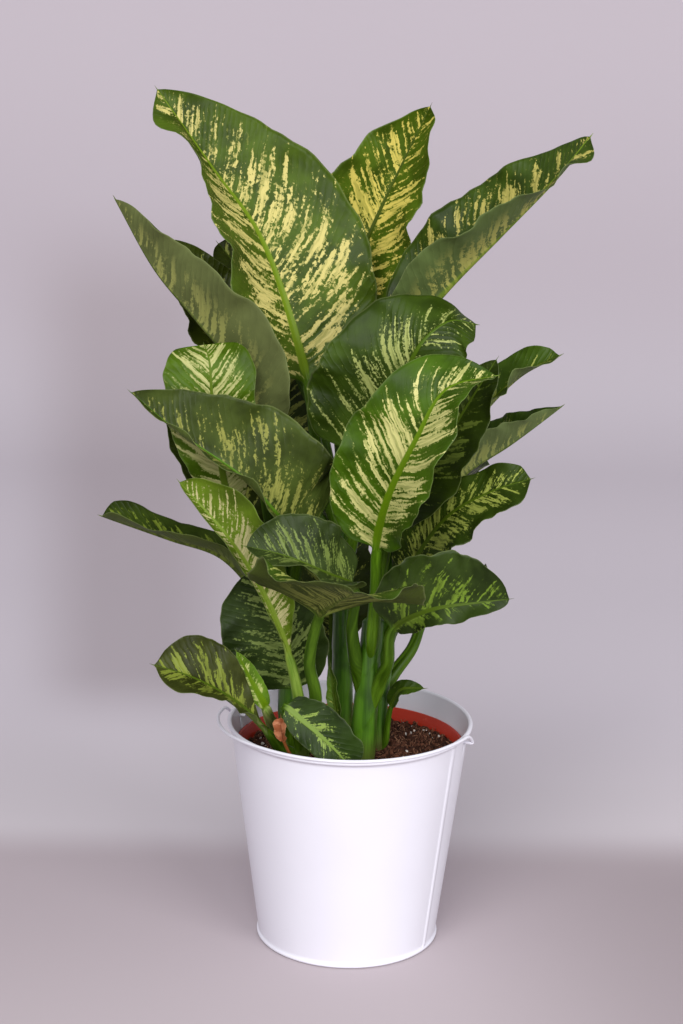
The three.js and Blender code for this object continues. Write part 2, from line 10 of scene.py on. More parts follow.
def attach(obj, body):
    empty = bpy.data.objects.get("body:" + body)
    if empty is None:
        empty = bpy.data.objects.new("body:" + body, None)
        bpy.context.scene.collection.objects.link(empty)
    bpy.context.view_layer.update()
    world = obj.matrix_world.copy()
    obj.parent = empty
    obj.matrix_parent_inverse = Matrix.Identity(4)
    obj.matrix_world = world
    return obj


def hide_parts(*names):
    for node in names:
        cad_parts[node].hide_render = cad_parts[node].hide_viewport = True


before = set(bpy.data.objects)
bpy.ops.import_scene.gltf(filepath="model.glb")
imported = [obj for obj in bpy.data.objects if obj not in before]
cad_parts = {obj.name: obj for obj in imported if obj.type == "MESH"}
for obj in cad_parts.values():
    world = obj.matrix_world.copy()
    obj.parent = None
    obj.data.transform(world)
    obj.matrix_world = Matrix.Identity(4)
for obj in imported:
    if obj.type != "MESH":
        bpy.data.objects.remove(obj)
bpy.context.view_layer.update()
scene = bpy.context.scene
mm = 0.001
gap = 0.35  # between neighbouring pieces
plantBody = "potted_plant"
bailBody = "bail"


# Helpers for colours, node trees and meshes

def tone(red, green, blue):  # a colour as it looks on screen, 0 to 255
    shares = [value / 255 for value in (red, green, blue)]
    return [s / 12.92 if s < 0.04045 else ((s + 0.055) / 1.055) ** 2.4 for s in shares] + [1]


def dim(color, share):
    return [c * share for c in color[:3]] + [1]


def between(first, second, share):
    return tone(*[a * (1 - share) + b * share for a, b in zip(first, second)])


def smooth(x):
    x = np.clip(x, 0, 1)
    return x * x * (3 - 2 * x)


def ease(x, start, over):  # from 0 at start to 1 a little further on
    return float(smooth((x - start) / over))


class Value:  # what a node gives, to reckon with by plain signs
    def __init__(self, net, socket):
        self.net, self.socket = net, socket

    def __add__(self, other):
        return self.net.calc("ADD", self, other)

    def __sub__(self, other):
        return self.net.calc("SUBTRACT", self, other)

    def __rsub__(self, other):
        return self.net.calc("SUBTRACT", other, self)

    def __mul__(self, other):
        return self.net.calc("MULTIPLY", self, other)

    def __truediv__(self, other):
        return self.net.calc("DIVIDE", self, other)

    def __abs__(self):
        return self.net.calc("ABSOLUTE", self)


class Net:  # writes a node tree one node at a time
    def __init__(self, tree):
        self.tree = tree
        tree.nodes.clear()

    def put(self, kind, *values, **named):  # inputs by place or capitalised name, and settings
        node = self.tree.nodes.new(kind)
        inputs = dict(enumerate(values))
        for key, value in named.items():
            if key[0].isupper():
                inputs[key.replace("_", " ")] = value
            else:
                setattr(node, key, value)
        for key, value in inputs.items():
            if isinstance(value, Value):
                value = value.socket
            if isinstance(value, bpy.types.NodeSocket):
                self.tree.links.new(value, node.inputs[key])
            elif value is not None:
                node.inputs[key].default_value = value
        return node

    def read(self, kind, *values, out=0, **named):  # puts a node and gives one of its outputs
        return Value(self, self.put(kind, *values, **named).outputs[out])

    def calc(self, operation, *values):
        return self.read("ShaderNodeMath", *values, operation=operation)

    def spot(self):  # where a point lies on its object
        return self.read("ShaderNodeTexCoord", out="Object")

    def point(self, x, y, z):
        return self.read("ShaderNodeCombineXYZ", x, y, z)

    def split(self, point):
        return [Value(self, socket) for socket in self.put("ShaderNodeSeparateXYZ", point).outputs]

    def ramp(self, value, low, high):  # eases from 0 at low to 1 at high
        span = (value, low, high, 0.0, 1.0)
        return self.read("ShaderNodeMapRange", *span, interpolation_type="SMOOTHSTEP")

    def mix(self, share, first, second):
        inputs = (share, *[None] * 5, first, second)
        return self.read("ShaderNodeMix", *inputs, out=2, data_type="RGBA")

    def noise(self, point, scale, detail=2.0, rough=0.5):
        inputs = {"Vector": point, "Scale": scale, "Detail": detail, "Roughness": rough}
        return self.read("ShaderNodeTexNoise", **inputs)

    def bump(self, height, distance, strength):
        return self.read("ShaderNodeBump", Height=height, Distance=distance, Strength=strength)

    def finish(self, color, roughness, normal=None, **more):
        shader = self.read("ShaderNodeBsdfPrincipled", Base_Color=color, Roughness=roughness,
                           Normal=normal, **more)
        self.put("ShaderNodeOutputMaterial", shader)


def newMaterial(name):
    material = bpy.data.materials.new(name)
    material.use_nodes = True
    return material, Net(material.node_tree)


def newTree(name, inputs, output):  # a tree for a modifier, its writer and what comes in
    tree = bpy.data.node_groups.new(name, "GeometryNodeTree")
    for label, kind in inputs.items():
        tree.interface.new_socket(label, in_out="INPUT", socket_type="NodeSocket" + kind)
    tree.interface.new_socket(output, in_out="OUTPUT", socket_type="NodeSocketGeometry")
    net = Net(tree)
    return tree, net, net.put("NodeGroupInput").outputs


def roundSweep(net, line, sides, radius):  # a round section drawn along a line
    section = net.read("GeometryNodeCurvePrimitiveCircle", Resolution=sides, Radius=radius)
    return net.read("GeometryNodeCurveToMesh", Curve=line, Profile_Curve=section, Fill_Caps=True)


def closeTree(net, solid, material):
    finish = net.read("GeometryNodeSetMaterial", Geometry=solid, Material=material)
    net.put("NodeGroupOutput", finish)


def grow(piece, tree, **values):  # runs a tree on a piece, inputs by the socket's identifier
    modifier = piece.modifiers.new("grow", "NODES")
    modifier.node_group = tree
    for item in tree.interface.items_tree:
        key = item.name.replace(" ", "_")
        if item.item_type == "SOCKET" and item.in_out == "INPUT" and key in values:
            modifier[item.identifier] = values[key]
    bake(piece)


def bake(piece):  # turns what the modifiers make into the piece's own mesh
    shown = piece.evaluated_get(bpy.context.evaluated_depsgraph_get())
    mesh = bpy.data.meshes.new_from_object(shown)
    piece.modifiers.clear()
    piece.data = mesh


def newObject(name, data):
    made = bpy.data.objects.new(name, data)
    scene.collection.objects.link(made)
    return made


def newMesh(name, points, edges, faces):
    mesh = bpy.data.meshes.new(name)
    mesh.from_pydata([tuple(p) for p in points], edges, faces)
    return newObject(name, mesh)


def newPiece(name, points, faces, material):
    piece = newMesh(name, points, [], faces)
    shadeSmooth(piece)
    piece.data.materials.append(material)
    return piece


def shadeSmooth(piece):
    piece.data.polygons.foreach_set("use_smooth", [True] * len(piece.data.polygons))


def dress(piece, node, slot, body=plantBody):
    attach(piece, body)
    if node:
        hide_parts(node)


def ringFaces(rings, count, start=0):  # quads between rings of points
    faces = []
    for i in range(rings - 1):
        for j in range(count):
            a, b = (start + i * count + k for k in (j, (j + 1) % count))
            faces.append((a, b, b + count, a + count))
    return faces


def capFaces(first, count, flip):  # closes a flat ring with strips from side to side
    faces = []
    for j in range(count // 2 - 1):
        k = count - 1 - j
        face = (first + j, first + j + 1, first + k - 1, first + k)
        faces.append(face if flip else face[::-1])
    return faces


def tubeFaces(rings, count):  # rings with a flat cap at both ends
    caps = capFaces(0, count, False) + capFaces((rings - 1) * count, count, True)
    return ringFaces(rings, count) + caps


def roundFaces(rings, count):  # rings between two middle points, the first and the last point
    last = 1 + (rings - 1) * count
    faces = [(0, 1 + (j + 1) % count, 1 + j) for j in range(count)]
    faces += ringFaces(rings, count, start=1)
    return faces + [(last + j, last + (j + 1) % count, last + count) for j in range(count)]


# Camera, light and floor

view = {
    "lens": 70,
    "sensor": 36,
    "place": (0, -1.916, 0.916),
    "pitch": 13.75,  # looking down
    "yaw": -0.35,
    "roll": 0.84,
}

light = {
    "keyPower": 2.25,
    "keyAngle": 44,
    "keyTurn": -14,  # from the viewer's side, to the left
    "keyHeight": 36,
    "keyAway": 3,
    "softPower": 36,
    "softSize": 1.3,
    "softPlace": (1.4, -1.9, 1.1),
    "softTarget": (0, 0, 0.4),
    "air": tone(226, 226, 234),
    "airPower": 0.47,
}

# The paper sweeps up behind the plant; its sizes, and the places of its painted light and shade
# along the sweep, are metres.
# A shadow has a strength and the ranges over which it comes in and goes out again.
paper = {
    "front": -6,
    "bend": 2.2,
    "radius": 1.6,
    "height": 5,
    "halfWidth": 9,
    "shade": (156, 145, 149),
    # the paper's tone along the sweep carries painted light and shade: darker just behind the pot,
    # lightest a little further back, darker again up the sweep
    "tones": [
        (-0.4, (195, 184, 188)),
        (0.16, (180, 169, 174)),
        (0.27, (204, 197, 202)),
        (0.75, (207, 200, 207)),
        (1.4, (201, 194, 201)),
        (2.6, (190, 183, 190)),
        (3.3, (181, 172, 179)),
        (4.2, (188, 179, 186)),
    ],
    "eye": 2.0,  # how far in front of the sweep's zero the viewer stands
    "leftShadow": {
        "strength": 0.62, "in": (-0.03, -0.1), "out": (-0.125, -0.18), "outShare": 0.95,
        "from": (0.55, 0.85), "to": (3.5, 3.0),
    },
    "rightShadow": {"strength": 0.75, "in": (0.05, 0.4), "to": (0.3, 0.1)},
}


def placeCamera():
    camera = newObject("camera", bpy.data.cameras.new("camera"))
    camera.data.lens = view["lens"]
    camera.data.sensor_width = view["sensor"]
    pitch, yaw, roll = (radians(view[key]) for key in ("pitch", "yaw", "roll"))
    level = cos(pitch)
    ahead = Vector((sin(yaw) * level, cos(yaw) * level, -sin(pitch)))
    right = Vector((cos(yaw), -sin(yaw), 0))
    up = right.cross(ahead)
    tiltedRight = right * cos(roll) + up * sin(roll)
    tiltedUp = up * cos(roll) - right * sin(roll)
    turn = Matrix((tiltedRight, tiltedUp, -ahead)).transposed()
    camera.matrix_world = Matrix.Translation(view["place"]) @ turn.to_4x4()
    scene.camera = camera


def newLamp(name, kind, power, place, target):
    lamp = newObject(name, bpy.data.lights.new(name, kind))
    lamp.data.energy = power
    lamp.location = place
    ahead = Vector(target) - Vector(place)
    lamp.rotation_euler = ahead.to_track_quat("-Z", "Y").to_euler()
    return lamp


def lightScene():
    turn, height = radians(light["keyTurn"]), radians(light["keyHeight"])
    level = light["keyAway"] * cos(height)
    up = light["keyAway"] * sin(height)
    keyPlace = (level * sin(turn), -level * cos(turn), up)
    key = newLamp("keyLight", "SUN", light["keyPower"], keyPlace, (0, 0, 0))
    key.data.angle = radians(light["keyAngle"])
    places = light["softPlace"], light["softTarget"]
    soft = newLamp("softLight", "AREA", light["softPower"], *places)
    soft.data.shape = "SQUARE"
    soft.data.size = light["softSize"]
    world = bpy.data.worlds.new("air")
    world.use_nodes = True
    background = world.node_tree.nodes["Background"]
    background.inputs[0].default_value = light["air"]
    background.inputs[1].default_value = light["airPower"]
    scene.world = world
    scene.view_settings.view_transform = "Standard"


def paperMaterial():
    material, net = newMaterial("palePaper")
    along = net.read("ShaderNodeAttribute", out="Fac", attribute_name="sweep")
    # the paper's tone along the sweep, with painted light and shade in it
    paperAndShadeStops = paper["tones"]
    color = tone(*paperAndShadeStops[0][1])
    for (before, _), (here, shade) in zip(paperAndShadeStops, paperAndShadeStops[1:]):
        color = net.mix(net.ramp(along, before, here), color, tone(*shade))
    # soft shadows: beside the plant at the left, and on the floor at the right
    across = net.split(net.spot())[0]
    beside = across / (along + paper["eye"])
    left, right = paper["leftShadow"], paper["rightShadow"]
    kept = 1 - net.ramp(beside, *left["out"]) * left["outShare"]
    leftShare = net.ramp(beside, *left["in"]) * kept
    leftShare = leftShare * net.ramp(along, *left["from"]) * net.ramp(along, *left["to"])
    rightShare = net.ramp(across, *right["in"]) * net.ramp(along, *right["to"])
    for share, shadow in ((leftShare, left), (rightShare, right)):
        color = net.mix(share * shadow["strength"], color, tone(*paper["shade"]))
    net.finish(color, 0.85, Specular_IOR_Level=0.1)
    return material


def makePaper():
    bend, radius, height = paper["bend"], paper["radius"], paper["height"]
    path = [(y, 0, y) for y in np.linspace(paper["front"], bend, 60)]  # y, z, distance
    for a in np.linspace(0, pi / 2, 30)[1:]:
        path.append((bend + radius * sin(a), radius * (1 - cos(a)), bend + radius * a))
    path.append((bend + radius, height, path[-1][2] + height - radius))
    points = [(x * paper["halfWidth"], y, z) for y, z, _ in path for x in (-1, 1)]
    strips = [(2 * i, 2 * i + 1, 2 * i + 3, 2 * i + 2) for i in range(len(path) - 1)]
    sweep = newPiece("paperSweep", points, strips, paperMaterial())
    layer = sweep.data.attributes.new("sweep", "FLOAT", "POINT")
    layer.data.foreach_set("value", [distance for *_, distance in path for _ in range(2)])


placeCamera()
lightScene()
makePaper()
print("camera, light and floor done")


# Bucket: painted sheet metal with a rolled rim, a foot bead, a folded seam and two ear holes

bucket = {
    "height": 231.5,
    "topRadius": 121.4,
    "baseRadius": 91.4,
    "wall": 1,
    "floor": 2,
    "hollow": 0.8,  # under the floor
    "rimBead": 2.3,
    "rimOut": 1.2,
    "rimTurns": (-115, 185),  # where the bead's round starts and ends
    "footBead": 2,
    "footUp": 0.6,
    "footTurns": (-75, 80),
    "sides": 200,
    "seamTurn": -31,  # from +X
    "seamWidth": 6,
    "seamSteps": (-2.2, -1.3, -1.1, -0.9, 0, 0.9, 1.1, 1.3, 2.2),  # shares of half its width
    "seamRise": 0.7,
    "earHeight": 221,
    "earTurn": -17,
    "earHole": 2.1,
}


def whitePaint(name, roughness):
    material, net = newMaterial(name)
    where = net.spot()
    cloud = net.noise(where, 9, 3)
    color = net.mix(cloud, tone(222, 220, 230), tone(230, 229, 238))
    height = net.noise(where, 420) * 0.12 + net.noise(where, 11, 1)  # peel and dents
    relief = net.bump(height, 0.0006, 0.5)
    net.finish(color, cloud * 0.12 + roughness, relief, Coat_Weight=0.15, Coat_Roughness=0.2)
    return material


def bead(radius, z, size, ends, steps):
    turns = np.radians(np.linspace(*ends, steps + 1))
    return [(radius + size * cos(a), z + size * sin(a)) for a in turns]


def bucketRadius(z):
    share = z / bucket["height"]
    return bucket["baseRadius"] + (bucket["topRadius"] - bucket["baseRadius"]) * share


def lathe(profile, turns, rise=None):  # profile from the foot's middle round to the floor's
    points = [(0, 0, profile[0][1])]
    for place, (radius, z) in enumerate(profile[1:-1], 1):
        for turn in turns:
            r = radius + (rise(turn, place) if rise else 0)
            points.append((r * cos(turn), r * sin(turn), z))
    points.append((0, 0, profile[-1][1]))
    return np.array(points) * mm, roundFaces(len(profile) - 2, len(turns))


def makeBucket():
    base, floor, hollow = bucket["baseRadius"], bucket["floor"], bucket["hollow"]
    rimZ = bucket["height"] - bucket["rimBead"]
    footZ = bucket["footBead"] + bucket["footUp"]

    def inner(z):
        return bucketRadius(z) - bucket["wall"]

    profile = [(0, hollow), (base - 7, hollow), (base - 4, 0), (base - 2, 0)]
    profile += bead(bucketRadius(footZ), footZ, bucket["footBead"], bucket["footTurns"], 10)
    firstWall = len(profile)
    profile += [(bucketRadius(z), z) for z in np.linspace(footZ + 5, rimZ - 6, 12)]
    lastWall = len(profile)
    rimRadius = bucketRadius(rimZ) + bucket["rimOut"]
    profile += bead(rimRadius, rimZ, bucket["rimBead"], bucket["rimTurns"], 18)
    profile += [(inner(z), z) for z in (rimZ - 3.5, rimZ - 8, 180, 120, 60, floor + 4)]
    profile += [(inner(floor) - 4, floor), (0, floor)]
    seam = radians(bucket["seamTurn"])
    half = bucket["seamWidth"] / 2 / bucket["topRadius"]
    turns = [t for t in np.linspace(-pi, pi, bucket["sides"], endpoint=False)
             if abs(t - seam) > half * 2.4]
    turns += [seam + half * k for k in bucket["seamSteps"]]

    def seamRise(turn, place):  # place counts along the profile
        if not firstWall - 1 <= place < lastWall:
            return 0
        return bucket["seamRise"] * float(smooth((1.2 - abs(turn - seam) / half) / 0.25))

    points, faces = lathe(profile, sorted(turns), seamRise)
    piece = newPiece("bucket", points, faces, whitePaint("whiteBucketPaint", 0.3))
    drillEars(piece)
    dress(piece, "outer_pot", "white_paint")


def earAxis():
    turn = radians(bucket["earTurn"])
    return Vector((cos(turn), sin(turn), 0))


def drillEars(piece):  # the two holes that the bail's ends go through
    sides, reach, r = 24, 0.3, bucket["earHole"] * mm
    height = bucket["earHeight"] * mm
    axis = earAxis()
    side = Vector((-axis.y, axis.x, 0))
    turns = [2 * pi * j / sides for j in range(sides)]
    points = [axis * end + side * (r * cos(a)) + Vector((0, 0, height + r * sin(a)))
              for end in (-reach, reach) for a in turns]
    faces = ringFaces(2, sides)
    faces += [tuple(reversed(range(sides))), tuple(range(sides, 2 * sides))]
    cutter = newMesh("earDrill", points, [], faces)
    cut = piece.modifiers.new("ears", "BOOLEAN")
    cut.operation, cut.object, cut.solver = "DIFFERENCE", cutter, "EXACT"
    bake(piece)
    bpy.data.objects.remove(cutter)


makeBucket()
print("bucket done")


# Bail: one wire, in through an ear, up over the rim, round the front and down to the other ear

bail = {
    "wire": 1.6,
    "sides": 14,
    "inside": 7,  # how far its ends reach in and out from the bucket's wall
    "outside": 8,
    "rideHeight": 11.6,
    "rideRadius": 125.6,
    "endsOut": 2.6,
    "leftBow": 8,
    "bowStart": 18,  # the step where the bow sets in
    "steps": 30,
}


def wireTree(material):  # an edge path becomes a round wire
    inputs = {"Path": "Geometry", "Wire radius": "Float", "Sides": "Int"}
    tree, net, given = newTree("roundWire", inputs, "Wire")
    line = net.read("GeometryNodeMeshToCurve", given["Path"])
    wire = roundSweep(net, line, given["Sides"], given["Wire radius"])
    closeTree(net, net.read("GeometryNodeRealizeInstances", wire), material)
    return tree


def smoothPath(points, perSegment):  # centripetal Catmull-Rom through the points
    points = np.array(points, float)
    ends = np.vstack([2 * points[0] - points[1], points, 2 * points[-1] - points[-2]])
    shares = np.linspace(0, 1, perSegment, endpoint=False)[:, None]
    path = []
    for i in range(len(points) - 1):
        p0, p1, p2, p3 = ends[i:i + 4]
        pairs = ((p0, p1), (p1, p2), (p2, p3))
        d0, d1, d2 = (sqrt(np.linalg.norm(b - a)) for a, b in pairs)
        m1 = ((p1 - p0) / d0 - (p2 - p0) / (d0 + d1) + (p2 - p1) / d1) * d1
        m2 = ((p2 - p1) / d1 - (p3 - p1) / (d1 + d2) + (p3 - p2) / d2) * d1
        path.append(p1 + m1 * shares + (3 * (p2 - p1) - 2 * m1 - m2) * shares ** 2
                    + (2 * (p1 - p2) + m1 + m2) * shares ** 3)
    return np.vstack(path + [points[-1:]])


def makeBail():
    axis = np.array(earAxis())
    front = np.array([axis[1], -axis[0], 0])
    ear = np.array([0, 0, bucket["earHeight"]])
    wall = bucketRadius(bucket["earHeight"])
    outside, inside = wall + bail["outside"], wall - bail["inside"]
    ends = [inside, (inside + outside) / 2, outside]
    points = [axis * r + ear for r in ends]
    steps = bail["steps"]
    for i in range(steps + 1):
        turn = pi * i / steps
        nearEnd = min(i, steps - i)
        lift = bail["rideHeight"] * smooth((nearEnd + 0.35) / 1.6)
        bow = bail["leftBow"] * smooth((i - bail["bowStart"]) / 7) * smooth((steps - i + 0.6) / 4)
        r = bail["rideRadius"] + bail["endsOut"] * (1 - smooth(nearEnd / 4)) + bow
        over = axis * (r * cos(turn)) + front * (r * sin(turn))
        points.append(over + ear + [0, 0, lift])
    points += [axis * -r + ear for r in reversed(ends)]
    path = smoothPath(points, 6) * mm
    piece = newMesh("bailWire", path, [(i, i + 1) for i in range(len(path) - 1)], [])
    tree = wireTree(whitePaint("whiteWirePaint", 0.34))
    grow(piece, tree, Wire_radius=bail["wire"] * mm, Sides=bail["sides"])
    shadeSmooth(piece)
    dress(piece, "bail_handle", "white_wire", bailBody)


makeBail()
print("bail done")


# Nursery pot: plain terracotta-coloured plastic with a turned lip

nursery = {
    "lipHeight": 207.5,
    "lipRadius": 116,
    "baseRadius": 84,
    "topStep": 1.5,  # the wall stands in from the lip
    "wall": 1.5,
    "floor": 1.65,
    "sides": 160,
}


def nurseryRadius(z):
    top = nursery["lipRadius"] - nursery["topStep"]
    return nursery["baseRadius"] + (top - nursery["baseRadius"]) * z / nursery["lipHeight"]


def plasticMaterial():
    material, net = newMaterial("terracottaPlastic")
    where = net.spot()
    speck = net.noise(where, 160, 3, 0.6)
    color = net.mix(net.noise(where, 12), tone(176, 44, 22), tone(190, 54, 30))
    color = net.mix(net.ramp(speck, 0.62, 0.8), color, tone(200, 84, 58))
    turned = net.read("ShaderNodeTexWave", Vector=where, Scale=90, out="Fac", bands_direction="Z")
    relief = net.bump(speck * 0.5 + turned * 0.3, 0.0003, 0.4)
    net.finish(color, 0.42, relief, Specular_IOR_Level=0.45)
    return material


def makeNurseryPot():
    bottom, lip, wall = bucket["floor"] + gap, nursery["lipHeight"], nursery["wall"]
    inside, edge, foot = bottom + nursery["floor"], nursery["lipRadius"], nurseryRadius(bottom)
    profile = [(0, bottom), (foot - 3, bottom), (foot - 0.8, bottom + 0.8)]
    profile += [(nurseryRadius(z), z) for z in (bottom + 3, lip - 9.2)]
    profile += [(edge - inset, lip - down) for inset, down in (
        (0.4, 8.4), (0, 7.8), (0, 0.8), (0.25, 0.2), (0.9, 0),
        (wall + 0.4, 0.1), (wall + 0.8, 0.6))]
    profile += [(nurseryRadius(z) - wall, z) for z in (180, 90, bottom + 5)]
    profile += [(nurseryRadius(inside) - wall - 3, inside), (0, inside)]
    turns = np.linspace(-pi, pi, nursery["sides"], endpoint=False)
    piece = newPiece("nurseryPot", *lathe(profile, turns), plasticMaterial())
    dress(piece, "nursery_pot", "terracotta_plastic")


makeNurseryPot()
print("nursery pot done")


# Soil: a crumbly mound with clods, bits of coir and white perlite grains

soil = {
    "level": 194,
    "mound": 9,
    "moundPlace": (55, -5),
    "moundSpread": 40,
    "grain": 2.2,
    "play": 0.6,  # between the soil and the pot
    "rings": 80,
    "sides": 180,
    "lumps": 26,
    "lumpLength": (3.2, 12),  # the shortest, and how much longer one can be
    "lumpRise": 0.055,  # share of its length
    "seed": 5,
}

# skin: the material's name, its dark and light tone and its roughness. density: for each square
# metre. lumps: how far a bit's surface is pushed about.
bits = {
    "soilClods": {
        "skin": ("soilClods", (16, 8, 6), (132, 84, 62), 0.95), "shape": "grain",
        "density": 34000, "smallest": (0.8, 0.8, 0.6), "largest": (3.6, 2.8, 2.4),
        "lumps": 2.4, "seed": 3,
    },
    "soilCoir": {
        "skin": ("coirFibre", (96, 58, 42), (196, 148, 114), 0.8), "shape": "thread",
        "density": 20000, "smallest": (2, 2, 2), "largest": (5.2, 5.2, 5.2),
        "lumps": 0.2, "seed": 8,
    },
    "soilPerlite": {
        "skin": ("perliteGrain", (196, 188, 180), (238, 233, 228), 0.7), "shape": "grain",
        "density": 2400, "smallest": (1.0, 0.9, 0.8), "largest": (2.6, 2.1, 1.8),
        "lumps": 1.6, "seed": 12,
    },
}


def soilHeight(x, y):
    middleX, middleY = soil["moundPlace"]
    away = (x - middleX) ** 2 + (y - middleY) ** 2
    mound = soil["mound"] * np.exp(-away / (2 * soil["moundSpread"] ** 2))
    grain = soil["grain"] * np.sin(x * 0.31 + y * 0.17) * np.cos(y * 0.37 - x * 0.11)
    return soil["level"] + mound + grain


def crumble(x, y):  # small lumps from waves in many directions
    random = np.random.default_rng(soil["seed"])
    shortest, longer = soil["lumpLength"]
    total = 0
    for _ in range(soil["lumps"]):
        length = shortest + longer * random.random()
        turn, phase = random.uniform(0, 2 * pi, 2)
        along = x * cos(turn) + y * sin(turn)
        total = total + length * soil["lumpRise"] * np.sin(along * 2 * pi / length + phase)
    return total


def earthMaterial(name, dark, light, roughness):
    material, net = newMaterial(name)
    where = net.spot()
    fine, coarse = net.noise(where, 900, 4, 0.7), net.noise(where, 330, 3, 0.6)
    color = net.mix(coarse * 1.5 + fine * 0.8 - 0.75, tone(*dark), tone(*light))
    net.finish(color, roughness, net.bump(fine, 0.0012, 0.8), Specular_IOR_Level=0.2)
    return material


def makeSoil():
    bottom = bucket["floor"] + gap + nursery["floor"] + gap
    edge = nurseryRadius(soil["level"]) - nursery["wall"] - soil["play"]
    foot = nurseryRadius(bottom) - nursery["wall"] - 3
    turns = np.linspace(0, 2 * pi, soil["sides"], endpoint=False)
    radii = np.linspace(edge, 0, soil["rings"], endpoint=False)
    points = [(0, 0, bottom)]
    points += [(foot * cos(t), foot * sin(t), bottom) for t in turns]
    for r in radii:
        x, y = r * np.cos(turns), r * np.sin(turns)
        fade = smooth((edge - r) / 5)
        z = soilHeight(x, y) + crumble(x, y) * fade - (1 - fade)
        points += list(zip(x, y, z))
    points.append((0, 0, float(soilHeight(0.0, 0.0) + crumble(0.0, 0.0))))
    points, faces = np.array(points) * mm, roundFaces(len(radii) + 1, len(turns))
    earth = earthMaterial("pottingSoil", (12, 6, 4), (92, 54, 38), 0.95)
    dress(newPiece("soilMound", points, faces, earth), "soil", "potting_soil")
    return points, [face for face in faces if min(face) > 1 + len(turns)]


def scatterTree(name, shape, material):  # bits on a surface, each turned and sized at random
    inputs = {"Surface": "Geometry", "Density": "Float", "Seed": "Int",
              "Smallest": "Vector", "Largest": "Vector", "Lumps": "Float"}
    tree, net, given = newTree(name, inputs, "Grains")
    seed = given["Seed"]
    places = net.read("GeometryNodeDistributePointsOnFaces", given["Surface"],
                      Density=given["Density"], Seed=seed)
    if shape == "grain":
        bit = net.read("GeometryNodeMeshIcoSphere", Radius=1, Subdivisions=2)
    else:
        arch = {"Resolution": 5, "Start": (-1, 0, 0), "Middle": (0, 0.9, 0.5), "End": (1, 0, 0)}
        bit = roundSweep(net, net.read("GeometryNodeCurveQuadraticBezier", **arch), 4, 0.085)

    def anyBetween(lowest, highest):
        kind = "FunctionNodeRandomValue"
        return net.read(kind, lowest, highest, Seed=seed, data_type="FLOAT_VECTOR")

    turn = anyBetween(None, (2 * pi,) * 3)
    size = anyBetween(given["Smallest"], given["Largest"])
    copies = net.read("GeometryNodeInstanceOnPoints", Points=places, Instance=bit,
                      Rotation=turn, Scale=size)
    solid = net.read("GeometryNodeRealizeInstances", copies)
    where = net.read("GeometryNodeInputPosition")
    lump = net.read("ShaderNodeTexNoise", Vector=where, Scale=420, out=1)
    centred = net.read("ShaderNodeVectorMath", lump, (0.5, 0.5, 0.5), operation="SUBTRACT")
    push = net.read("ShaderNodeVectorMath", centred, Scale=given["Lumps"], operation="SCALE")
    pushed = net.read("GeometryNodeSetPosition", Geometry=solid, Offset=push)
    closeTree(net, pushed, material)
    return tree


def scatter(points, faces):
    for name, bit in bits.items():
        piece = newMesh(name, points, [], faces)
        tree = scatterTree(name + "Tree", bit["shape"], earthMaterial(*bit["skin"]))
        grow(piece, tree, Density=float(bit["density"]), Seed=bit["seed"], Lumps=bit["lumps"] * mm,
             Smallest=[v * mm for v in bit["smallest"]], Largest=[v * mm for v in bit["largest"]])
        dress(piece, None, "potting_soil")
        print(name, len(piece.data.polygons), "faces")


scatter(*makeSoil())
print("soil done")


# Canes: thick green stems wrapped in old leaf sheaths, with a ring at each leaf scar

canes = {
    "main": {"foot": (11, -33, 190), "top": (22, -42, 352), "radius": (14, 11)},
    "right": {"foot": (27, -6, 190), "top": (43, -2, 420), "radius": (7.5, 8)},
    "back": {"foot": (-8, 30, 190), "top": (-10, 28, 480), "radius": (12, 9)},
    "left": {"foot": (-62, 2, 190), "top": (-66, 6, 400), "radius": (11, 8)},
    "shoot": {"foot": (-46, -50, 190), "top": (-50, -55, 262), "radius": (8, 7)},
}

caneShape = {
    "sink": 28,  # how deep it stands in the soil
    "sides": 48,
    "rings": 110,
    "crown": 5,  # the rounded top
    "scar": 60,  # from one sheath's edge to the next
    "slant": 0.35,
    "crease": 0.5,
    "lip": 0.7,
    "lipStart": 0.08,
}


def caneAt(cane, z):
    share = (z - cane["foot"][2]) / (cane["top"][2] - cane["foot"][2])
    share = np.clip(share, 0, 1)
    middle = np.array(cane["foot"]) * (1 - share) + np.array(cane["top"]) * share
    return middle, cane["radius"][0] * (1 - share) + cane["radius"][1] * share


def caneMaterial():
    material, net = newMaterial("caneSkin")
    where = net.spot()
    x, y, z = net.split(where)
    streak = net.noise(net.point(x * 160, y * 160, z * 9), 1, 3, 0.6)
    color = net.mix(net.ramp(streak, 0.35, 0.7), tone(42, 78, 8), tone(80, 124, 24))
    color = net.mix(net.ramp(net.noise(where, 28), 0.5, 0.8), color, tone(36, 64, 8))
    color = net.mix(net.ramp(z, 0.235, 0.196) * 0.4, color, tone(118, 110, 62))
    relief = net.bump(streak, 0.0008, 0.5)
    net.finish(color, 0.36, relief, Coat_Weight=0.08, Coat_Roughness=0.3)
    return material


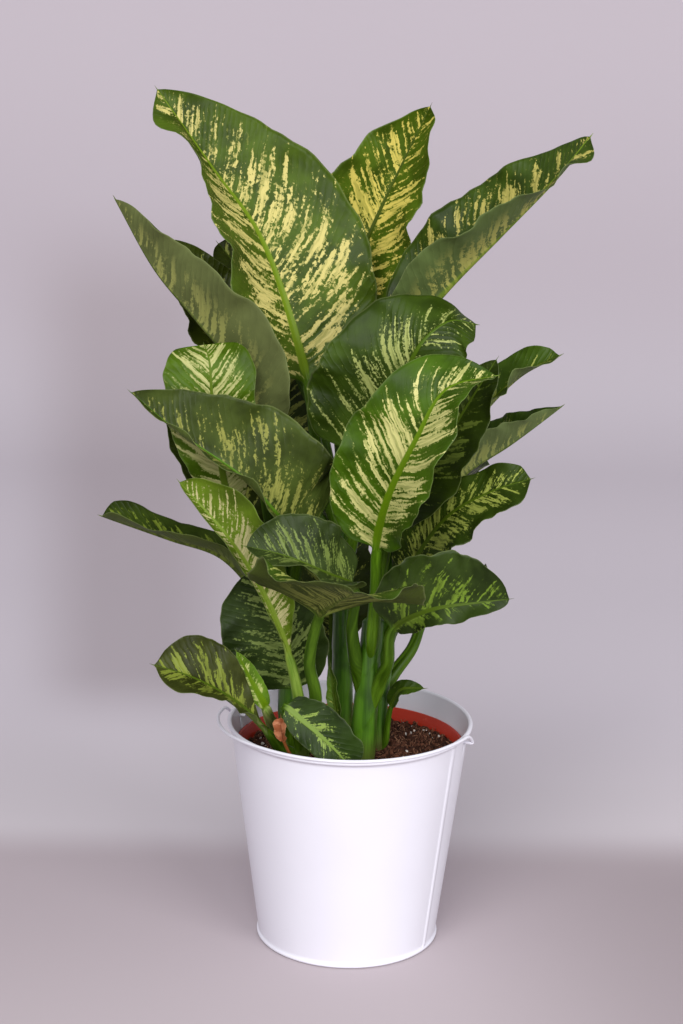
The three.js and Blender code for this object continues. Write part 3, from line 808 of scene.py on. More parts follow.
def makeCanes():
    skin, crown = caneMaterial(), caneShape["crown"]
    turns = np.linspace(0, 2 * pi, caneShape["sides"], endpoint=False)
    for name, cane in canes.items():
        foot, top = cane["foot"][2], cane["top"][2]
        heights = np.linspace(foot - caneShape["sink"], top - crown, caneShape["rings"])
        rings = []
        for z in [*heights, top - 2.5, top - 0.8, top]:
            middle, radius = caneAt(cane, max(z, foot))
            # old sheaths wrap the stem; each one's edge climbs round it slantwise
            climb = (z - foot) / caneShape["scar"] + np.sin(turns + len(name)) * caneShape["slant"]
            knot = caneShape["lip"] * smooth((climb % 1) / caneShape["lipStart"]) * (1 - climb % 1)
            wrap = caneShape["crease"] * np.sin(2 * turns + z * 0.03) * np.cos(turns - z * 0.017)
            taper = sqrt(max(0.02, 1 - max(0, (z - top + crown) / crown) ** 2))
            r = (radius - caneShape["crease"] + knot + wrap) * taper
            x, y = middle[0] + r * np.cos(turns), middle[1] + r * np.sin(turns)
            rings.append(np.stack([x, y, np.full_like(turns, z)], 1))
        faces = tubeFaces(len(rings), len(turns))
        piece = newPiece("cane" + name.title(), np.vstack(rings) * mm, faces, skin)
        dress(piece, "cane_" + name, "cane_green")


makeCanes()
print("canes done")


# Leaves. on: the cane, the height and the direction (degrees from +X) where the stalk leaves it.
# stalk: points the stalk passes; rib: points of the midrib from the blade's base to its tip.
# face, faceTip: where the upper side looks at the base and at the tip. belly: the widest place.
# left, right, both: half width, fold out of the blade's plane at base and tip, curl to the edge.
# rise: how fast the blade widens from its base. wave: height, number and phase of the edge's waves.
# blunt, tipTurn: how far the left and the right half stay wide at the tip, and how far they turn.
# look: the colouring, flecked where none is named; a leaf's own values for it come last.

leaves = {
    "leaf_top_left": dict(
        on=("back", 440, 195), stalk=[(-38, 40, 505)],
        rib=[(-48, 45, 567), (-97, 70, 709), (-144, 80, 774), (-198, 70, 852)],
        face=(0.2, -0.9, 0.4), belly=0.37, rise=0.47, left=(86, 28, 66, 10), right=(99, 8, 0, 15),
        wave=(4, 3, 0), blunt=(3, 0), tipTurn=(-55, 0), look="marbled", ribWidth=11,
        pale=(204, 192, 116), cover=0.5, reach=0.8, green=(58, 77, 11), torn=0.95, extent=0.8,
    ),
    "leaf_top_middle": dict(
        on=("back", 470, 90), stalk=[(-20, 80, 550)],
        rib=[(-30, 115, 606), (0, 125, 678), (21, 130, 729), (71, 134, 837)],
        face=(0, -0.95, 0.25), belly=0.38, rise=0.45, left=(78, 10, 30, 20),
        right=(62, 20, 50, 20), wave=(5, 3, 0.3), blunt=(0, 8), look="marbled", green=(60, 80, 10),
        pale=(212, 196, 96), cover=0.56, ribTone=(62, 78, 6), torn=0.9,
    ),
    "leaf_top_right": dict(
        on=("right", 410, 80), stalk=[(48, 30, 540)],
        rib=[(52, 35, 620), (86, 30, 665), (138, 22, 721), (192, 12, 780), (219, 8, 816)],
        face=(-0.75, -0.15, 0.65), belly=0.36, rise=0.42, left=(68, 42, 22, 20),
        right=(54, 78, -5, 20), wave=(6, 3, 0.1), blunt=(0, 7), tipTurn=(0, -50), look="marbled",
        green=(46, 64, 10), cover=0.5, pale=(184, 174, 92), under=(84, 100, 52), torn=0.9,
    ),
    "leaf_centre_upper": dict(
        on=("back", 400, -60), stalk=[(6, 0, 450)],
        rib=[(20, -14, 500), (42, -30, 570), (61, -42, 622), (89, -35, 644), (114, -25, 640)],
        face=(-0.1, -0.95, 0.2), faceTip=(0.1, -0.3, 0.95), belly=0.32, rise=0.34,
        left=(86, 5, 0, 15), right=(60, 0, -25, 10), wave=(5, 3, 0), blunt=(0, 14), look="striped",
        green=(44, 62, 8), cover=0.4, reach=0.72, pale=(160, 168, 96), ribTone=(70, 94, 12),
        torn=0.8, stretch=8,
    ),
    "leaf_centre_front": dict(
        on=("main", 340, -90), stalk=[(23, -58, 385)],
        rib=[(23, -66, 426), (33, -84, 481), (57, -103, 541), (84, -104, 590), (130, -92, 602)],
        face=(-0.2, -0.95, 0.2), faceTip=(0.1, -0.25, 0.95), belly=0.42, rise=0.58,
        left=(64, 15, 20, 20), right=(56, 48, 8, 10), wave=(4, 3, 0.2), look="striped",
        ribWidth=12, cover=0.58, green=(52, 78, 6), torn=0.6,
    ),
    "leaf_behind_front": dict(
        on=("main", 335, 90), stalk=[(30, -12, 395)],
        rib=[(40, -28, 444), (70, -50, 500), (100, -58, 556), (132, -62, 612)],
        face=(-0.3, -0.9, 0.3), belly=0.42, left=(37, 20, 20, 20), right=(38, 10, 5, 20),
        wave=(3, 3, 0.4), green=(34, 48, 2), pale=(96, 112, 42), cover=0.42,
    ),
    "leaf_right_wavy": dict(
        on=("right", 390, -20), stalk=[(62, -12, 440)],
        rib=[(71, -10, 472), (110, -12, 535), (158, -17, 589), (195, -25, 611)],
        face=(-0.5, -0.3, 0.8), belly=0.4, left=(36, 40, 20, 20), right=(40, 30, 20, 20),
        wave=(7, 3.5, 0.1), blunt=(6, 6), cover=0.44, under=(84, 98, 52),
    ),
    "leaf_right_back": dict(
        on=("right", 350, 40), stalk=[(66, 28, 400)],
        rib=[(79, 40, 442), (111, 42, 480), (155, 35, 512), (204, 25, 552)],
        face=(-0.55, -0.1, 0.8), belly=0.35, left=(44, 30, 30, 10), right=(46, 55, 45, 10),
        wave=(2, 3, 0.1), cover=0.46, under=(94, 108, 62), pale=(160, 164, 88),
    ),
    "leaf_right_middle": dict(
        on=("main", 320, 10), stalk=[(46, -32, 350)],
        rib=[(50, -36, 379), (67, -46, 422), (94, -64, 463), (133, -80, 490), (166, -90, 504)],
        face=(-0.3, -0.8, 0.5), belly=0.4, rise=0.42, left=(30, 0, 0, 15), right=(46, 15, 15, 20),
        wave=(4, 3, 0.6), blunt=(8, 8), green=(38, 54, 6), pale=(146, 156, 70), cover=0.52,
        grain=17, torn=0.8,
    ),
    "leaf_right_low": dict(
        on=("main", 285, -40), stalk=[(36, -64, 312)],
        rib=[(40, -78, 350), (75, -96, 376), (123, -108, 388), (148, -113, 393)],
        face=(-0.1, -0.97, 0.25), belly=0.46, rise=0.42, left=(56, 10, 10, 15),
        right=(18, 20, 20, 10), wave=(3, 2.5, 0), green=(36, 50, 12), pale=(102, 126, 40),
        cover=0.47, reach=0.7,
    ),
    "leaf_front_flat": dict(
        on=("shoot", 235, 0), stalk=[(-34, -66, 276), (-40, -84, 318)], sheath=0.5,
        rib=[(-30, -112, 374), (-17, -165, 402), (2, -262, 440)], face=(0.12, 0.2, 0.95),
        belly=0.36, left=(85, 12, 8, 5), right=(82, 14, 10, 5), wave=(9, 2, 0), under=(64, 76, 24),
        pale=(160, 166, 84), cover=0.56, stretch=9, reach=1,
    ),
    "leaf_front_left": dict(
        on=("main", 300, 200), stalk=[(0, -64, 350)],
        rib=[(2, -78, 390), (-24, -102, 411), (-62, -118, 432), (-99, -124, 443)],
        face=(-0.2, -0.3, 0.95), belly=0.46, rise=0.42, left=(32, 8, 8, 5), right=(47, 66, 54, 10),
        wave=(4, 2, 0), green=(42, 55, 20), pale=(112, 128, 62), cover=0.5, grain=21, stretch=7,
        torn=0.8,
    ),
    "leaf_young_rolled": dict(
        on=("shoot", 258, -84), stalk=[(-53, -71, 290)], sheath=0.4,
        rib=[(-59, -73, 316), (-84, -79, 382), (-118, -84, 440), (-164, -88, 495)],
        face=(0.3, -0.9, 0.3), belly=0.66, rise=1.1, left=(14, 20, 20, 60), right=(46, 25, 20, 50),
        wave=(0, 2, 0), look="striped", green=(80, 102, 18), pale=(184, 178, 126),
        ribTone=(112, 134, 40), stalkTones=((92, 122, 36), (128, 150, 62)), torn=0.6,
    ),
    "leaf_left_pale": dict(
        on=("left", 380, -120), stalk=[(-104, -34, 412)],
        rib=[(-113, -55, 437), (-123, -63, 487), (-133, -77, 557), (-137, -75, 609),
             (-143, -57, 621)],
        face=(0, -1, 0.1), faceTip=(0, -0.3, 0.95), belly=0.7, rise=1, left=(44, 10, 0, 15),
        right=(41, 5, 0, 10), wave=(3, 3, 0), blunt=(5, 5), look="striped", green=(60, 84, 8),
        pale=(180, 180, 118), ribTone=(88, 110, 28), cover=0.78, extent=0.66, torn=0.5,
    ),
    "leaf_left_crossing": dict(
        on=("left", 375, -50), stalk=[(-50, -22, 430)],
        rib=[(-44, -62, 434), (-66, -84, 456), (-103, -103, 502), (-165, -116, 550),
             (-205, -121, 586)],
        face=(0.25, -0.95, 0.2), belly=0.3, rise=0.32, left=(20, 80, 80, 10), right=(76, 5, 5, 10),
        wave=(5, 3, 0), green=(52, 64, 20), pale=(138, 140, 68), cover=0.36, torn=0.85,
        ribTone=(76, 112, 20), ribWidth=8,
    ),
    "leaf_upper_left": dict(
        on=("left", 395, 160), stalk=[(-86, -14, 465)],
        rib=[(-95, -40, 532), (-118, -48, 604), (-150, -50, 645), (-188, -50, 690),
             (-226, -48, 755)],
        face=(0.7, -0.2, 0.65), belly=0.36, rise=0.42, left=(58, 70, 60, 20),
        right=(44, 45, 40, 20), wave=(5, 3, 0.2), green=(48, 60, 12), under=(90, 98, 54),
        pale=(160, 160, 88), cover=0.48,
    ),
    "leaf_back_left_high": dict(
        on=("back", 415, 120), stalk=[(-34, 85, 510)],
        rib=[(-70, 112, 588), (-110, 126, 656), (-143, 134, 696)], face=(0.3, -0.8, 0.4),
        belly=0.5, left=(40, 20, 20, 10), right=(52, 20, 20, 10), wave=(2, 3, 0.2),
        green=(44, 54, 6),
    ),
    "leaf_back_left_low": dict(
        on=("back", 405, 190), stalk=[(-70, 45, 490)],
        rib=[(-95, 54, 540), (-136, 62, 620), (-186, 66, 706)], face=(0.4, -0.8, 0.4), belly=0.42,
        both=(45, 20, 20, 10), wave=(2, 3, 0.2), green=(44, 54, 6),
    ),
    "leaf_left_dark": dict(
        on=("left", 330, 160), stalk=[(-88, 16, 370)],
        rib=[(-102, 28, 392), (-141, 34, 461), (-188, 36, 531)], face=(0.4, -0.8, 0.3), belly=0.42,
        left=(30, 20, 20, 10), right=(50, 20, 20, 10), wave=(2, 3, 0.2), green=(34, 44, 2),
        cover=0.3,
    ),
    "leaf_left_trough": dict(
        on=("left", 300, -150), stalk=[(-82, -4, 325)],
        rib=[(-88, -8, 352), (-128, -12, 402), (-181, -18, 422), (-246, -24, 445)],
        face=(0.3, -0.3, 0.9), belly=0.6, rise=0.5, left=(30, 40, 40, 10), right=(24, 30, 12, 10),
        wave=(4, 1.6, 0.5), blunt=(10, 8), green=(42, 56, 10), pale=(112, 128, 42), cover=0.5,
        under=(78, 92, 34),
    ),
    "leaf_low_round": dict(
        on=("left", 225, -60), stalk=[(-52, -26, 250)],
        rib=[(-54, -30, 272), (-66, -44, 325), (-84, -54, 370), (-98, -60, 402)],
        face=(0.1, -0.9, 0.3), belly=0.5, left=(59, 0, 0, 10), right=(45, 10, 10, 20),
        wave=(2, 2, 0), green=(34, 48, 14), pale=(108, 124, 64), cover=0.44, torn=0.8,
    ),
    "leaf_low_left": dict(
        on=("shoot", 210, 190), stalk=[(-69, -60, 221)],
        rib=[(-79, -72, 240), (-111, -90, 278), (-149, -110, 308), (-186, -122, 325)],
        face=(0.2, -0.6, 0.75), belly=0.66, rise=2.1, left=(36, 55, 10, 20),
        right=(42, 20, 20, 20), wave=(3, 2, 0), blunt=(8, 8), green=(50, 56, 18),
        pale=(122, 134, 50), cover=0.58, reach=0.7,
    ),
    "leaf_rim": dict(
        on=("shoot", 236, -115), stalk=[(-61, -75, 258)], stalkRadius=4, sheath=0.4,
        rib=[(-63, -81, 271), (-44, -90, 259), (-20, -97, 240), (3, -99, 215)],
        face=(-0.2, -0.8, 0.5), belly=0.48, rise=0.42, left=(28, 10, 10, 10), right=(19, 5, 5, 10),
        wave=(1, 2, 0), blunt=(5, 4), green=(34, 50, 14), pale=(132, 154, 70),
        ribTone=(112, 136, 56), cover=0.5, reach=0.38, lean=0.7, torn=0.8, grain=19,
    ),
    "leaf_low_small": dict(
        on=("left", 215, 200), stalk=[(-80, -40, 244)],
        rib=[(-83, -60, 262), (-97, -68, 292), (-111, -74, 324)], face=(0.2, -0.8, 0.5),
        belly=0.42, both=(11, 20, 20, 10), wave=(1, 2, 0), look="striped", green=(80, 110, 24),
        pale=(176, 184, 112), stalkTones=((84, 118, 34), (172, 182, 104)),
    ),
    "leaf_stem_small": dict(
        on=("main", 214, 170), stalk=[(-9, -28, 227)], stalkRadius=4, sheath=0.4,
        rib=[(-12, -27, 240), (-16, -26, 266), (-21, -24, 298)], face=(-0.3, -0.9, 0.2),
        belly=0.35, both=(9, 35, 30, 20), wave=(1, 2, 0), green=(62, 86, 18), cover=0.15,
    ),
    "leaf_curled_small": dict(
        on=("right", 208, -30), stalk=[(38, -16, 232)], stalkRadius=2.5,
        rib=[(41, -18, 250), (51, -24, 271), (73, -30, 275)], face=(-0.4, -0.7, 0.6), belly=0.42,
        left=(10, 10, 10, 10), right=(9, 20, 20, 10), wave=(1, 2, 0), cover=0.1,
    ),
    "sheath_dry": dict(
        on=("shoot", 203, -110), stalk=[(-58, -80, 222)], stalkRadius=1.5, sheath=0.3,
        rib=[(-64, -87, 238), (-66, -89, 250), (-67, -88, 262)], face=(-0.3, -0.9, 0.2), belly=0.7,
        both=(9, 30, 30, 30), wave=(1, 2, 0), look="dried",
    ),
    "leaf_rear_high": dict(
        on=("back", 430, 60), stalk=[(20, 80, 470)],
        rib=[(38, 105, 510), (46, 160, 575), (52, 215, 590)], face=(0, -0.6, 0.8),
        faceTip=(0, 0.4, 0.9), belly=0.4, both=(58, 15, 15, 20), wave=(4, 3, 0.1), look="marbled",
        cover=0.5,
    ),
    "leaf_rear_right": dict(
        on=("right", 305, 90), stalk=[(60, 45, 370)],
        rib=[(74, 70, 405), (98, 118, 455), (118, 172, 470)], face=(-0.2, -0.5, 0.85),
        faceTip=(0.1, 0.3, 0.9), belly=0.4, both=(54, 15, 15, 20), wave=(4, 3, 0.4), cover=0.5,
    ),
    "leaf_rear_left": dict(
        on=("left", 350, 100), stalk=[(-72, 66, 400)],
        rib=[(-74, 94, 468), (-70, 140, 560), (-62, 182, 640)], face=(0, -0.8, 0.5), belly=0.4,
        both=(54, 15, 15, 20), wave=(4, 3, 0.7), green=(40, 52, 6),
    ),
    "leaf_rear_low": dict(
        on=("back", 245, 110), stalk=[(-18, 58, 266)],
        rib=[(-20, 66, 290), (-22, 80, 340), (-22, 112, 396), (-20, 150, 420)],
        face=(0, -0.9, 0.4), faceTip=(0, -0.5, 0.85), belly=0.4, left=(46, 15, 15, 20),
        right=(50, 15, 15, 20), wave=(3, 3, 0.2), green=(48, 60, 18),
    ),
    "leaf_rear_low_right": dict(
        on=("right", 270, 50), stalk=[(62, 22, 300)],
        rib=[(74, 42, 326), (104, 85, 356), (132, 130, 356)], face=(-0.1, -0.4, 0.9),
        faceTip=(0.2, 0.2, 0.95), belly=0.4, both=(42, 15, 15, 20), wave=(3, 3, 0.6),
        green=(48, 60, 18),
    ),
}

blade = {
    "thickness": 0.8,
    "across": 18,  # points from the rib to the edge
    "along": 60,
    "stalkRings": 22,
    "perSegment": 120,  # points of the path between two given ones
    "sheathDrop": 34,  # how far a stalk's foot runs down its cane
    "tip": 5,  # length of the drip tip beyond the blade
    "tipRings": ((0.45, 0.55), (1.0, 0.12)),  # share of the tip's length, and of the width there
    "ragged": ((0.012, 33), (0.008, 71)),  # the width's wavering: share, and how often
    "ripples": ((1, 1.9), (0.4, 4.3)),  # smaller waves along the edge: share, and how often
    "ripple": 2.4,
    "rippleWidth": 50,  # a half narrower than this ripples less
    "rightShift": 0.31,  # the right edge's waves run behind the left one's
    "tipTurn": (0.87, 0.08),  # where a tip starts to turn, and over how much of the blade
    "blunt": (0.7, 0.2),
    "bluntEnd": 0.035,
    "groove": 0.2,  # along the top of the stalk, share of its radius
    "neck": (0.45, 0.3),  # the stalk's foot: share of its radius, and over how much of it
    "rib": (0.8, 0.5),  # the rib's radius: share of the stalk's at the base, and at the tip
    "keelWidth": 1.2,
    "crest": (0.22, 0.9),  # the rib's height and half width on the upper side
    "blend": 0.06,  # share of the blade over which the stalk becomes it
    "least": 0.6,  # a half is never narrower than this share of the rib
}


def outline(t, belly, rise):  # half width along the blade as a share of the widest place
    fall = rise * (1 - belly) / belly
    top = belly ** rise * (1 - belly) ** fall
    return t ** rise * (1 - t) ** fall / top


def arc(width, fold, curl, u):  # where a point of half a blade lies: out and up
    if abs(curl) < 1e-3:
        return width * u * cos(fold), width * u * sin(fold)
    return (width * (np.sin(fold + curl * u) - sin(fold)) / curl,
            width * (cos(fold) - np.cos(fold + curl * u)) / curl)


def dome(x):  # the height of a round top at x
    return np.sqrt(np.clip(1 - x ** 2, 0, 1))


def leafPath(leaf, stalkRadius):  # down the cane, out along the stalk and up the midrib
    caneName, height, turn = leaf["on"]
    cane, perSegment = canes[caneName], blade["perSegment"]
    middle, caneRadius = caneAt(cane, height)
    outwards = np.array([cos(radians(turn)), sin(radians(turn)), 0])
    foot = middle + outwards * (caneRadius + stalkRadius * 0.3)
    drop = min(blade["sheathDrop"], height - cane["foot"][2] - 2) * stalkRadius / 5
    lower, lowerRadius = caneAt(cane, height - drop)
    lower = np.array([lower[0], lower[1], height - drop])
    root = lower + outwards * (lowerRadius - stalkRadius * 1.2)
    path = smoothPath([root, foot] + leaf["stalk"] + leaf["rib"], perSegment)
    steps = np.linalg.norm(np.diff(path, axis=0), axis=1)
    length = np.concatenate([[0], np.cumsum(steps)])
    return path, length, length[(2 + len(leaf["stalk"])) * perSegment]


def bladeHalves(name, leaf, t, girth, us):  # a ring's points, their normals and their width
    seed = sum(map(ord, name)) * 0.37
    waveHeight, waveCount, wavePhase = leaf["wave"]
    share = outline(t, leaf["belly"], leaf.get("rise", 0.5)) if 0 < t < 1 else 0
    ragged = 1
    for k, (size, often) in enumerate(blade["ragged"], 1):
        ragged += size * sin(often * t + k * seed)
    xs, ys, nxs, nys, halves = (np.zeros(len(us)) for _ in range(5))
    for hand, mask in enumerate((us < 0, us >= 0)):
        width, foldBase, foldTip, curl = leaf.get("both") or leaf[("left", "right")[hand]]
        turned = leaf.get("tipTurn", (0, 0))[hand] * ease(t, *blade["tipTurn"])
        fold, bend = radians(foldBase * (1 - t) + foldTip * t + turned), radians(curl)
        blunt = ease(t, *blade["blunt"]) * ease(1 - t, 0, blade["bluntEnd"])
        blunt *= leaf.get("blunt", (0, 0))[hand]
        wide = max(width * share * ragged + blunt, girth * blade["least"])
        u = np.abs(us[mask])
        x, y = arc(wide, fold, bend, u)
        turn = waveCount * t + wavePhase + blade["rightShift"] * hand
        fade = sqrt(max(0.0, 4 * t * (1 - t)))
        ripple = blade["ripple"] * min(1, width / blade["rippleWidth"])
        small = sum(size * ripple * sin(2 * pi * (waveCount * often * t + k * seed))
                    for k, (size, often) in enumerate(blade["ripples"], 1))
        lift = fade * u * u * (waveHeight * sin(2 * pi * turn) + small * u)
        slope = np.where(u == 0, 0, fold + bend * u)
        sign = 2 * hand - 1
        xs[mask], ys[mask] = sign * (x - np.sin(slope) * lift), y + np.cos(slope) * lift
        nxs[mask], nys[mask] = -sign * np.sin(slope), np.cos(slope)
        halves[mask] = wide
    return xs, ys, nxs, nys, halves


def leafShape(name, leaf):
    stalkRadius, sheath = leaf.get("stalkRadius", 5), leaf.get("sheath", 0.7)
    path, length, stalkLength = leafPath(leaf, stalkRadius)
    bladeLength = length[-1] - stalkLength
    tangents = np.gradient(path, axis=0)
    even = np.linspace(0, 1, blade["along"])
    crowded = (1 - np.cos(even * pi)) / 2  # more rings near base and tip
    places = [(k, -1.0) for k in np.linspace(0, 0.97, blade["stalkRings"])]
    places += [(1.0, t) for t in crowded * 0.35 + even * 0.65]
    shares = (np.arange(blade["across"] + 1) / blade["across"]) ** 1.3
    us = np.concatenate([-shares[:0:-1], shares])
    half = len(us)
    face = np.array(leaf["face"], float)
    faceTip = np.array(leaf.get("faceTip", leaf["face"]), float)
    topTurns = (np.arange(half) + 0.5) * np.pi / half
    topCircle = np.stack([np.cos(topTurns), np.sin(topTurns)], 1)
    middleGroove = blade["groove"] * np.exp(-((topTurns - np.pi / 2) / 0.3) ** 2)
    (neck, neckLength), (ribShare, ribEnd) = blade["neck"], blade["rib"]
    crestHeight, crestWidth = blade["crest"]
    rings, flat, where = [], [], []
    for along, t in places:
        at = along * stalkLength if t < 0 else stalkLength + t * bladeLength
        onStalk, t = t < 0, max(t, 0.0)
        point = np.array([np.interp(at, length, path[:, k]) for k in range(3)])
        tangent = np.array([np.interp(at, length, tangents[:, k]) for k in range(3)])
        tangent /= np.linalg.norm(tangent)
        up = face * (1 - t) + faceTip * t
        up = up - tangent * up.dot(tangent)
        up /= np.linalg.norm(up)
        side = np.cross(tangent, up)
        if onStalk:
            girth = stalkRadius * (1 + sheath * (1 - along) ** 1.2)
            girth *= neck + (1 - neck) * smooth(along / neckLength)
        else:
            girth = stalkRadius * ribShare * (1 - t) ** 0.8 + ribEnd
        groove = 1 - middleGroove * smooth(along * 3)
        stalkRing = np.vstack([-topCircle * girth, topCircle * girth * groove[:, None]])
        xs, ys, nxs, nys, halves = bladeHalves(name, leaf, t, girth, us)
        off = np.abs(us) * halves
        thin = blade["thickness"] / 2 * (1 - 0.5 * us ** 2)
        keel = girth * dome(off / (girth * blade["keelWidth"]))
        crest = crestHeight * girth * dome(off / (girth * crestWidth))
        under = np.stack([xs - nxs * thin, ys - nys * thin - keel], 1)
        top = np.stack([xs + nxs * thin, ys + nys * thin + crest], 1)[::-1]
        blend = 0 if onStalk else ease(t, 0, blade["blend"])
        ring = stalkRing * (1 - blend) + np.vstack([under, top]) * blend
        rings.append(point + ring[:, :1] * side + ring[:, 1:] * up)
        stretch = np.concatenate([us * halves, (us * halves)[::-1]])
        flat.append(np.stack([stretch / 100, np.full(2 * half, (at - stalkLength) / 100)], 1))
        edge = np.abs(np.concatenate([us, us[::-1]]))
        below = np.concatenate([np.ones(half), np.zeros(half)])
        share = np.full(2 * half, along if onStalk else t)
        where.append(np.stack([edge, share, below, np.full(2 * half, 1 - blend)], 1))
    # the drip tip: the last ring drawn out to a thin point
    last = rings[-1]
    centre = last.mean(0)
    for forward, shrink in blade["tipRings"]:
        rings.append(centre + (last - centre) * shrink + tangent * blade["tip"] * forward)
        flat.append(flat[-1])
        where.append(where[-1])
    faces = tubeFaces(len(rings), 2 * half)
    return np.vstack(rings) * mm, faces, np.vstack(flat), np.vstack(where), bladeLength / 100


# What a leaf's colouring is made of: the blade's green, the pale marks and how they lie.
# cover: share of marks; reach, extent: how far out and along they go; grain: marks for each 100 mm;
# stretch: how much longer than wide a mark is; ragged, torn: how uneven its edge is and how far
# green islands eat into it; lean, leanTip: how far forward the side veins run at base and tip.

looks = {
    "marbled": dict(
        green=(66, 88, 8), pale=(206, 196, 110), under=(86, 104, 38),
        ribTone=(104, 128, 24), cover=0.54, reach=0.86, extent=0.86, grain=13,
        stretch=6, ragged=0.6, torn=0.75, lean=0.3, leanTip=0.9, ribWidth=9,
        stalkTones=((52, 78, 6), (84, 118, 22)),
    ),
    "striped": dict(
        green=(58, 86, 4), pale=(200, 196, 126), under=(84, 102, 36),
        ribTone=(92, 122, 12), cover=0.52, reach=0.8, extent=0.9, grain=17,
        stretch=11, ragged=0.5, torn=0.4, lean=0.5, leanTip=0.7, ribWidth=9,
        stalkTones=((60, 92, 6), (92, 128, 24)),
    ),
    "flecked": dict(
        green=(44, 64, 8), pale=(148, 154, 72), under=(82, 98, 40),
        ribTone=(70, 90, 16), cover=0.44, reach=0.78, extent=0.86, grain=14,
        stretch=5, ragged=0.6, torn=0.6, lean=0.4, leanTip=0.8, ribWidth=6,
        stalkTones=((48, 74, 6), (80, 112, 22)),
    ),
    "dried": dict(
        green=(134, 76, 46), pale=(176, 118, 84), under=(124, 70, 42),
        ribTone=(104, 58, 34), cover=0.4, reach=1.2, extent=1.2, grain=14,
        stretch=6, ragged=0.4, torn=0.3, lean=0.2, leanTip=0, ribWidth=1,
        stalkTones=((120, 66, 30), (150, 90, 50)),
    ),
}


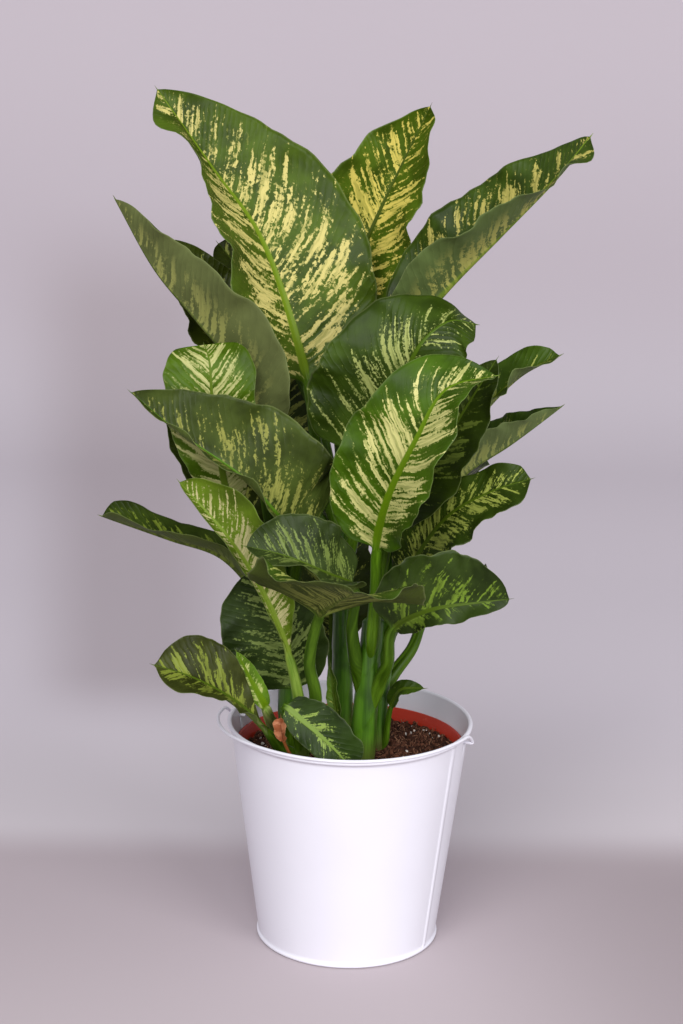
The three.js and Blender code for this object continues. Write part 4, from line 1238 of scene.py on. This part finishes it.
def leafMaterial(name, look, seed, length):
    material, net = newMaterial(name)
    x, y, _ = net.split(net.read("ShaderNodeUVMap", uv_map="bladeMap"))
    place = net.put("ShaderNodeAttribute", attribute_name="bladePlace").outputs
    edge, along, below = net.split(place["Color"])
    stalk = Value(net, place["Alpha"])
    away = abs(x)
    lane = net.calc("SIGN", x) * 3.7 + seed
    spot = net.point(x, y, lane)
    # where the side vein through this point leaves the rib; the veins waver a little
    root = y - away * look["lean"] - away * away * 0.22
    root = root / (away * (look["leanTip"] / length) + 1.0)
    root = net.noise(spot, 9) * 0.05 + root

    def strands(scale, longer, shift, detail, rough):
        outwards = away * (scale / longer) + shift
        return net.noise(net.point(root * scale, outwards, lane), 1, detail, rough)

    # bands along the side veins, torn by finer strands and eaten by small green islands
    grain, stretch = look["grain"], look["stretch"]
    band = strands(grain, stretch, 0, 1, 0.5)
    strand = strands(grain * 2.4, stretch * 0.9, 5, 2, 0.6)
    island = net.noise(spot, grain * 2.1, 4, 0.7)
    patch = net.noise(spot, 2.6)
    field = (strand - 0.5) * look["ragged"] + (island - 0.5) * look["torn"] + (patch - 0.5) * 0.3
    outward = net.ramp(edge, look["reach"] - 0.35, look["reach"] + 0.15)
    forward = net.ramp(along, look["extent"] - 0.4, look["extent"] + 0.2)
    limit = outward * 0.2 + forward * 0.13 + (0.75 - look["cover"] / 2)
    depth = field + band - limit
    mark, halo = net.ramp(depth, 0.0, 0.045), net.ramp(depth, -0.06, 0.005)
    fleck = net.ramp(island * 0.5 + strand * 0.5, 0.595, 0.61)
    # the green between the marks, lighter in places and along the side veins
    cloud = net.noise(net.point(x, y, seed), 3.2, 3, 0.55)
    clouds = net.ramp(cloud, 0.3, 0.7)
    lighter = tone(*[min(255, c * 1.16 + 6) for c in look["green"]])
    color = net.mix(clouds, dim(tone(*look["green"]), 0.74), lighter)
    vein = abs(net.calc("SINE", root * (pi / 0.07)))
    line = net.ramp(vein, 0.22, 0.0) * net.ramp(patch, 0.4, 0.6)
    color = net.mix(line * 0.14, color, lighter)
    pale, middle = tone(*look["pale"]), between(look["pale"], look["green"], 0.55)
    color = net.mix(halo * 0.65, color, middle)
    color = net.mix(fleck * (0.85 - outward), color, middle)
    cream = net.mix(net.ramp(strand, 0.4, 0.6), net.mix(0.55, pale, middle), pale)
    color = net.mix(mark, color, cream)
    ribHalf = (1.0 - along) * (look["ribWidth"] / 200) + 0.004
    rib, ribTone = net.ramp(away / ribHalf, 1.15, 0.75), tone(*look["ribTone"])
    color = net.mix(rib, color, ribTone)
    # the underside is duller; its marks keep to the keel's side
    under = tone(*look["under"])
    dull = net.mix(clouds, dim(under, 0.74), under)
    shown = net.calc("MAXIMUM", net.calc("MAXIMUM", mark, fleck), halo * 0.5)
    shown = shown * net.ramp(edge, 0.8, 0.15)
    dull = net.mix(shown, dull, between(look["pale"], look["under"], 0.32))
    dull = net.mix(line * 0.3, dull, tone(*[c * 1.12 for c in look["under"]]))
    dull = net.mix(rib * 0.6, dull, ribTone)
    color = net.mix(below, color, dull)
    # a thin pale line along the edge: partly the margin's own paler rim, partly a painted highlight
    # on it
    color = net.mix(net.ramp(edge, 0.975, 0.995) * 0.16, color, tone(168, 178, 120))
    # the stalk is streaked
    streak = net.noise(net.point(x * 40, y * 1.6, seed), 1, 3, 0.6)
    skin = net.mix(net.ramp(streak, 0.35, 0.7), *(tone(*shade) for shade in look["stalkTones"]))
    color = net.mix(stalk, color, skin)
    quilt = net.calc("POWER", vein, 0.6) * net.ramp(patch, 0.3, 0.65) + strand * 0.3
    relief = quilt * (1.0 - net.calc("MAXIMUM", stalk, rib))
    rough = below * 0.3 + (cloud * 0.16 + 0.32)
    net.finish(color, rough, net.bump(relief, 0.0007, 0.65), Specular_IOR_Level=0.14)
    return material


def mapBlade(mesh, flat, where):  # the blade laid flat, and where on it each point lies
    corners = np.zeros(len(mesh.loops), np.int32)
    mesh.loops.foreach_get("vertex_index", corners)
    mesh.uv_layers.new(name="bladeMap").data.foreach_set("uv", flat[corners].ravel())
    layer = mesh.attributes.new("bladePlace", "FLOAT_COLOR", "POINT")
    layer.data.foreach_set("color", where.ravel())


def makeLeaves():
    for order, (name, leaf) in enumerate(leaves.items()):
        first, *rest = name.split("_")
        pieceName = first + "".join(word.title() for word in rest)
        points, faces, flat, where, length = leafShape(name, leaf)
        style = leaf.get("look", "flecked")
        look = {**looks[style], **leaf}
        skin = leafMaterial(pieceName + "Skin", look, order * 2.31 + 1, length)
        piece = newPiece(pieceName, points, faces, skin)
        mapBlade(piece.data, flat, where)
        dress(piece, name, "dried_sheath" if style == "dried" else "leaf_green")


makeLeaves()
print("leaves done:", len(leaves))
